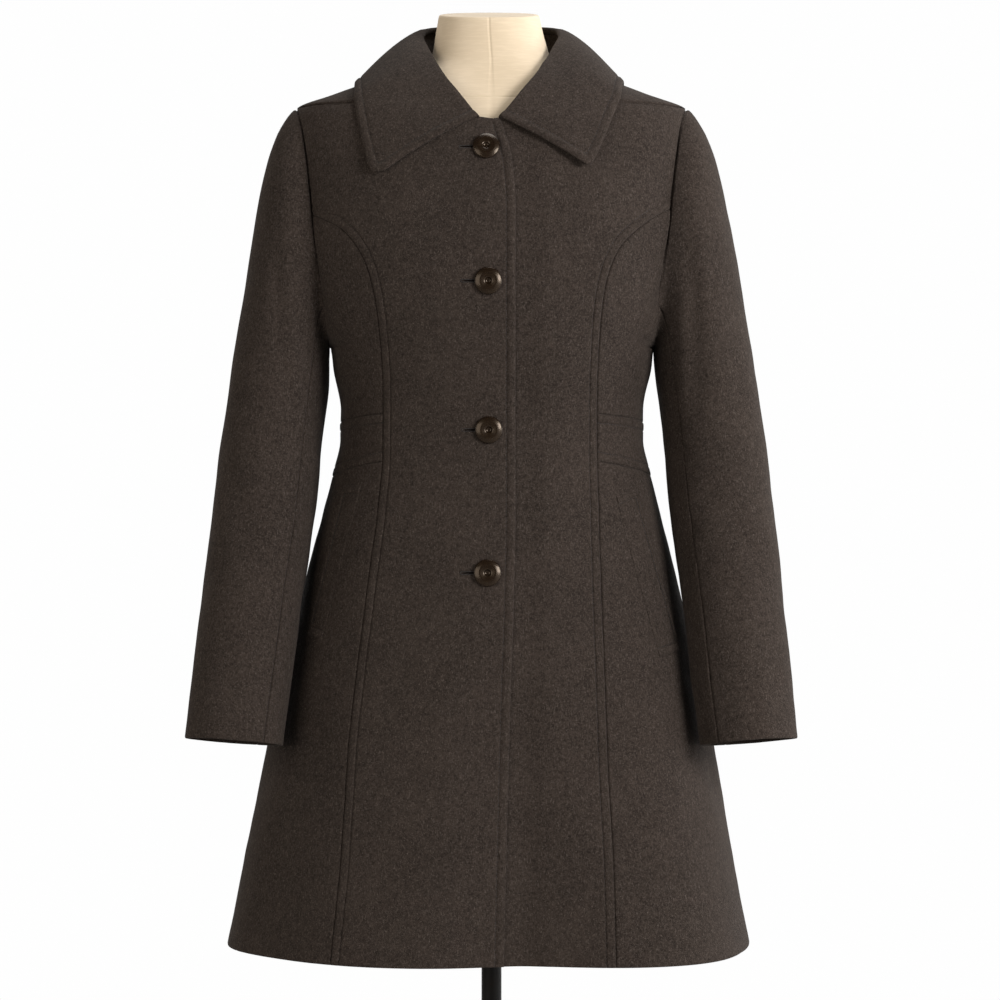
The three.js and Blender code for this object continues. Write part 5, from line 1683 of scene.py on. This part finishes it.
def studio():
    """Pale floor, white surroundings, soft lamps and the camera."""
    light = bpy.context.scene.studio_light
    turn = np.linspace(0, math.tau, FLOOR_AROUND, endpoint=False)
    level = np.full_like(turn, -FLOOR_BELOW)
    rings = [
        np.stack([r * np.cos(turn), r * np.sin(turn), level], axis=-1) for r in (0.4, 1.2, FLOOR_RADIUS)
    ]
    middle_face = list(range(FLOOR_AROUND))[::-1]
    faces = grid_faces(len(rings), FLOOR_AROUND, closed=True).tolist() + [middle_face]
    floor = bpy.data.meshes.new("studio_floor")
    floor.from_pydata([tuple(p) for p in np.concatenate(rings)], [], faces)
    floor.materials.append(floor_look())
    floor = bpy.data.objects.new("studio_floor", floor)
    bpy.context.scene.collection.objects.link(floor)

    bpy.context.scene.world = surroundings(light)

    middle = (0, 0, 1.0)
    softbox("key_softbox", (1.95, -1.85, 1.80), middle, 1.1, light.key, (1.0, 0.99, 0.985))
    softbox("fill_softbox", (-2.3, -2.5, 1.5), middle, 2.2, light.fill, (1.0, 0.935, 0.85))
    softbox("top_softbox", (0.3, 0.4, 3.1), middle, 1.4, light.top)
    softbox("right_softbox", (2.6, 0.3, 1.1), middle, 1.2, light.right_side, (1.0, 0.99, 0.985))
    softbox("left_softbox", (-2.6, 0.2, 1.2), middle, 1.4, light.left_side, (1.0, 0.935, 0.85))

    eye = bpy.data.cameras.new("photo_camera")
    eye.lens = 108
    eye.sensor_width = 36
    camera = bpy.data.objects.new("photo_camera", eye)
    camera.location = CAMERA_PLACE
    camera.rotation_euler = (math.pi / 2, 0, 0)
    bpy.context.scene.collection.objects.link(camera)
    bpy.context.scene.camera = camera
    bpy.context.scene.view_settings.view_transform = "Standard"
    bpy.context.scene.view_settings.look = "None"


class CoatSettings(bpy.types.PropertyGroup):
    stitch_inset: bpy.props.FloatProperty(
        name="Stitch inset", description="Topstitching inside its seam or edge", default=0.009, unit="LENGTH")
    stitch_length: bpy.props.FloatProperty(
        name="Stitch length", description="From one stitch to the next", default=0.0036, unit="LENGTH")
    thread_width: bpy.props.FloatProperty(
        name="Thread width", description="Width of the topstitching thread", default=0.00080, unit="LENGTH")
    ridge_height: bpy.props.FloatProperty(
        name="Ridge height", description="Swell of the cloth between a seam and its stitching",
        default=0.00032, unit="LENGTH")
    crease_strength: bpy.props.FloatProperty(
        name="Crease strength", description="Share of the soft creases that shows",
        default=1.0, subtype="FACTOR")
    button_width: bpy.props.FloatProperty(
        name="Button width", description="Across one button", default=0.0265, unit="LENGTH")
    wool_dark: bpy.props.FloatVectorProperty(
        name="Wool dark", description="Dark fibres", default=(0.0105, 0.0074, 0.0056), subtype="COLOR")
    wool_light: bpy.props.FloatVectorProperty(
        name="Wool light", description="Lighter fibres", default=(0.0440, 0.0325, 0.0262), subtype="COLOR")
    wool_fleck: bpy.props.FloatVectorProperty(
        name="Wool fleck", description="Pale hairs in the felt",
        default=(0.100, 0.080, 0.068), subtype="COLOR")
    fleck_strength: bpy.props.FloatProperty(
        name="Fleck strength", description="How clearly the pale hairs show", default=0.38, subtype="FACTOR")
    wool_sheen: bpy.props.FloatProperty(
        name="Wool sheen", description="Soft bloom of the nap", default=0.04, subtype="FACTOR")
    button_dark: bpy.props.FloatVectorProperty(
        name="Button dark", description="Body of the buttons",
        default=(0.0085, 0.0044, 0.0021), subtype="COLOR")
    button_light: bpy.props.FloatVectorProperty(
        name="Button light", description="Streaks in the buttons",
        default=(0.0150, 0.0086, 0.0042), subtype="COLOR")
    muslin_dark: bpy.props.FloatVectorProperty(
        name="Muslin dark", description="Shaded threads", default=(0.62, 0.50, 0.350), subtype="COLOR")
    muslin_light: bpy.props.FloatVectorProperty(
        name="Muslin light", description="Lit threads", default=(0.75, 0.625, 0.465), subtype="COLOR")
    stand_colour: bpy.props.FloatVectorProperty(
        name="Stand", description="Enamel of the pole and base",
        default=(0.012, 0.011, 0.010), subtype="COLOR")


class StudioSettings(bpy.types.PropertyGroup):
    key: bpy.props.FloatProperty(
        name="Key lamp", description="Large soft lamp on the viewer's right", default=77.0, unit="POWER")
    fill: bpy.props.FloatProperty(
        name="Fill lamp", description="Soft lamp on the viewer's left", default=43.0, unit="POWER")
    top: bpy.props.FloatProperty(
        name="Top lamp", description="Soft lamp above", default=25.0, unit="POWER")
    right_side: bpy.props.FloatProperty(
        name="Right lamp", description="Soft lamp beside the coat on the viewer's right",
        default=26.0, unit="POWER")
    left_side: bpy.props.FloatProperty(
        name="Left lamp", description="Soft lamp beside the coat on the viewer's left",
        default=12.0, unit="POWER")
    right: bpy.props.FloatProperty(
        name="Right glow", description="Brightness of the surroundings on the viewer's right", default=0.95)
    left: bpy.props.FloatProperty(
        name="Left glow", description="Brightness of the surroundings on the viewer's left", default=0.08)
    front: bpy.props.FloatProperty(
        name="Front glow", description="Brightness of the surroundings behind the viewer", default=0.15)
    ceiling: bpy.props.FloatProperty(
        name="Ceiling", description="Brightness of the surroundings overhead", default=0.06, subtype="FACTOR")


def coat():
    return bpy.context.scene.coat_settings


def look_named(name, make):
    """Material by name, made on first use."""
    return bpy.data.materials.get(name) or make()


def wool(side):
    name = "Melton wool right" if side < 0 else "Melton wool left"
    return look_named(name, lambda: wool_look(name))


# Topstitching thread, darkened as painted shade of its groove.
def thread():
    return look_named("Thread darkened with painted groove shade", lambda: thread_look("Thread darkened with painted groove shade", 1.0))


# Thread darkened further still: painted shade along the welts' outer edges.
def welt_thread_painted_shade():
    return look_named("Welt thread with deep painted shade", lambda: thread_look("Welt thread with deep painted shade", 0.35))


SIDES = ((-1, "right"), (1, "left"))
PLACES = ((False, "front"), (True, "back"))


class COAT_OT_fronts(bpy.types.Operator):
    """Cuts the two fronts with their princess seams and the stitched front edge"""

    bl_idname = "coat.fronts"
    bl_label = "Fronts"

    def execute(self, context):
        for side, worn in SIDES:
            outer, inner, paths = front_panel(side)
            cloth_object(f"front_{worn}", outer, inner, wool(side))
            topstitching(f"front_{worn}_stitching", paths, thread())
        return {"FINISHED"}


class COAT_OT_backs(bpy.types.Operator):
    """Cuts the two halves of the back with their centre seam"""

    bl_idname = "coat.backs"
    bl_label = "Backs"

    def execute(self, context):
        for side, worn in SIDES:
            outer, inner, paths = back_panel(side)
            cloth_object(f"back_{worn}", outer, inner, wool(side))
            topstitching(f"back_{worn}_stitching", paths, thread())
        return {"FINISHED"}


class COAT_OT_side_panels(bpy.types.Operator):
    """Cuts the side panels above and below the waist band"""

    bl_idname = "coat.side_panels"
    bl_label = "Side panels"

    def execute(self, context):
        for side, worn in SIDES:
            for back, place in PLACES:
                for level in ("chest", "skirt"):
                    outer, inner, _ = side_piece(side, back, level)
                    cloth_object(f"side_{place}_{level}_{worn}", outer, inner, wool(side))
        return {"FINISHED"}


class COAT_OT_waist_bands(bpy.types.Operator):
    """Lets in the stitched waist band round each side"""

    bl_idname = "coat.waist_bands"
    bl_label = "Waist bands"

    def execute(self, context):
        for side, worn in SIDES:
            for back, place in PLACES:
                outer, inner, paths = side_piece(side, back, "band")
                cloth_object(f"waist_band_{place}_{worn}", outer, inner, wool(side))
                topstitching(f"waist_band_{place}_{worn}_stitching", paths, thread())
        return {"FINISHED"}


class COAT_OT_pocket_welts(bpy.types.Operator):
    """Lays the slanting pocket welts on the side panels"""

    bl_idname = "coat.pocket_welts"
    bl_label = "Pocket welts"

    def execute(self, context):
        for name, corners in WELTS.items():
            outer, inner, paths = pocket_welt(corners)
            worn = name.removeprefix("pocket_welt_")
            side = -1 if worn == "right" else 1
            cloth_object(name, outer, inner, wool(side))
            raised = [(line + ways * WELT_STITCH_UP, ways) for line, ways in paths]
            # The welt stitches take the darkest thread, painted shade along the outer edge.
            topstitching(f"{name}_stitching", raised, welt_thread_painted_shade(), spacing=WELT_STITCH_LENGTH)
        return {"FINISHED"}


class COAT_OT_sleeves(bpy.types.Operator):
    """Sets in the two-piece sleeves"""

    bl_idname = "coat.sleeves"
    bl_label = "Sleeves"

    def execute(self, context):
        for side, worn in SIDES:
            outer, inner = sleeve_wall(side, HINDARM_SEAM - math.tau, FOREARM_SEAM, 44)
            cloth_object(f"upper_sleeve_{worn}", outer, inner, wool(side))
            outer, inner = sleeve_wall(side, FOREARM_SEAM, HINDARM_SEAM, 20)
            cloth_object(f"under_sleeve_{worn}", outer, inner, wool(side))
        return {"FINISHED"}


class COAT_OT_collar(bpy.types.Operator):
    """Makes the collar: the turned-down fall over its stand"""

    bl_idname = "coat.collar"
    bl_label = "Collar"

    def execute(self, context):
        paths, base, normals, at = collar_fall(wool(1))
        collar_stand(base, normals, at, wool(1))
        topstitching("collar_stitching", paths, thread())
        return {"FINISHED"}


class COAT_OT_buttons(bpy.types.Operator):
    """Sews on the four buttons and works their buttonholes"""

    bl_idname = "coat.buttons"
    bl_label = "Buttons and buttonholes"

    def execute(self, context):
        polished = look_named("Polished brown button", button_look)
        shadow = look_named("Cut wool in shadow", slit_look)
        for i, (name, (x, z)) in enumerate(BUTTONS.items(), 1):
            dished_button(name, x, z, polished)
            buttonhole(f"buttonhole_{i}", x, z, thread(), shadow)
        return {"FINISHED"}


class COAT_OT_form(bpy.types.Operator):
    """Makes the muslin dress form with its neck"""

    bl_idname = "coat.form"
    bl_label = "Dress form"

    def execute(self, context):
        dress_form(look_named("Cream muslin", muslin_look))
        return {"FINISHED"}


class COAT_OT_stand(bpy.types.Operator):
    """Makes the black pole and the round base"""

    bl_idname = "coat.stand"
    bl_label = "Stand"

    def execute(self, context):
        enamel = look_named("Black enamel", black_look)
        stand_pole(enamel)
        stand_foot(enamel)
        return {"FINISHED"}


class COAT_OT_studio(bpy.types.Operator):
    """Sets up the pale floor, the soft lamps and the camera"""

    bl_idname = "coat.studio"
    bl_label = "Studio"

    def execute(self, context):
        studio()
        return {"FINISHED"}


OPERATORS = (
    COAT_OT_fronts, COAT_OT_backs, COAT_OT_side_panels, COAT_OT_waist_bands, COAT_OT_pocket_welts,
    COAT_OT_sleeves, COAT_OT_collar, COAT_OT_buttons, COAT_OT_form, COAT_OT_stand, COAT_OT_studio,
)


class COAT_PT_panel(bpy.types.Panel):
    """Pieces of the coat and its stand, in the order in which they are made"""

    bl_label = "Wool coat"
    bl_idname = "COAT_PT_panel"
    bl_space_type = "VIEW_3D"
    bl_region_type = "UI"
    bl_category = "Coat"

    def draw(self, context):
        layout = self.layout
        for settings in (context.scene.coat_settings, context.scene.studio_light):
            for name in settings.bl_rna.properties.keys():
                if name not in ("rna_type", "name"):
                    layout.prop(settings, name)
        for operator in OPERATORS:
            layout.operator(operator.bl_idname)


def register():
    for part in (CoatSettings, StudioSettings, *OPERATORS, COAT_PT_panel):
        bpy.utils.register_class(part)
    bpy.types.Scene.coat_settings = bpy.props.PointerProperty(type=CoatSettings)
    bpy.types.Scene.studio_light = bpy.props.PointerProperty(type=StudioSettings)


def unregister():
    del bpy.types.Scene.studio_light
    del bpy.types.Scene.coat_settings
    for part in reversed((CoatSettings, StudioSettings, *OPERATORS, COAT_PT_panel)):
        bpy.utils.unregister_class(part)


def main():
    register()
    bpy.ops.coat.fronts()
    bpy.ops.coat.backs()
    bpy.ops.coat.side_panels()
    bpy.ops.coat.waist_bands()
    bpy.ops.coat.pocket_welts()
    bpy.ops.coat.sleeves()
    bpy.ops.coat.collar()
    bpy.ops.coat.buttons()
    bpy.ops.coat.form()
    bpy.ops.coat.stand()
    bpy.ops.coat.studio()


if __name__ == "__main__":
    main()
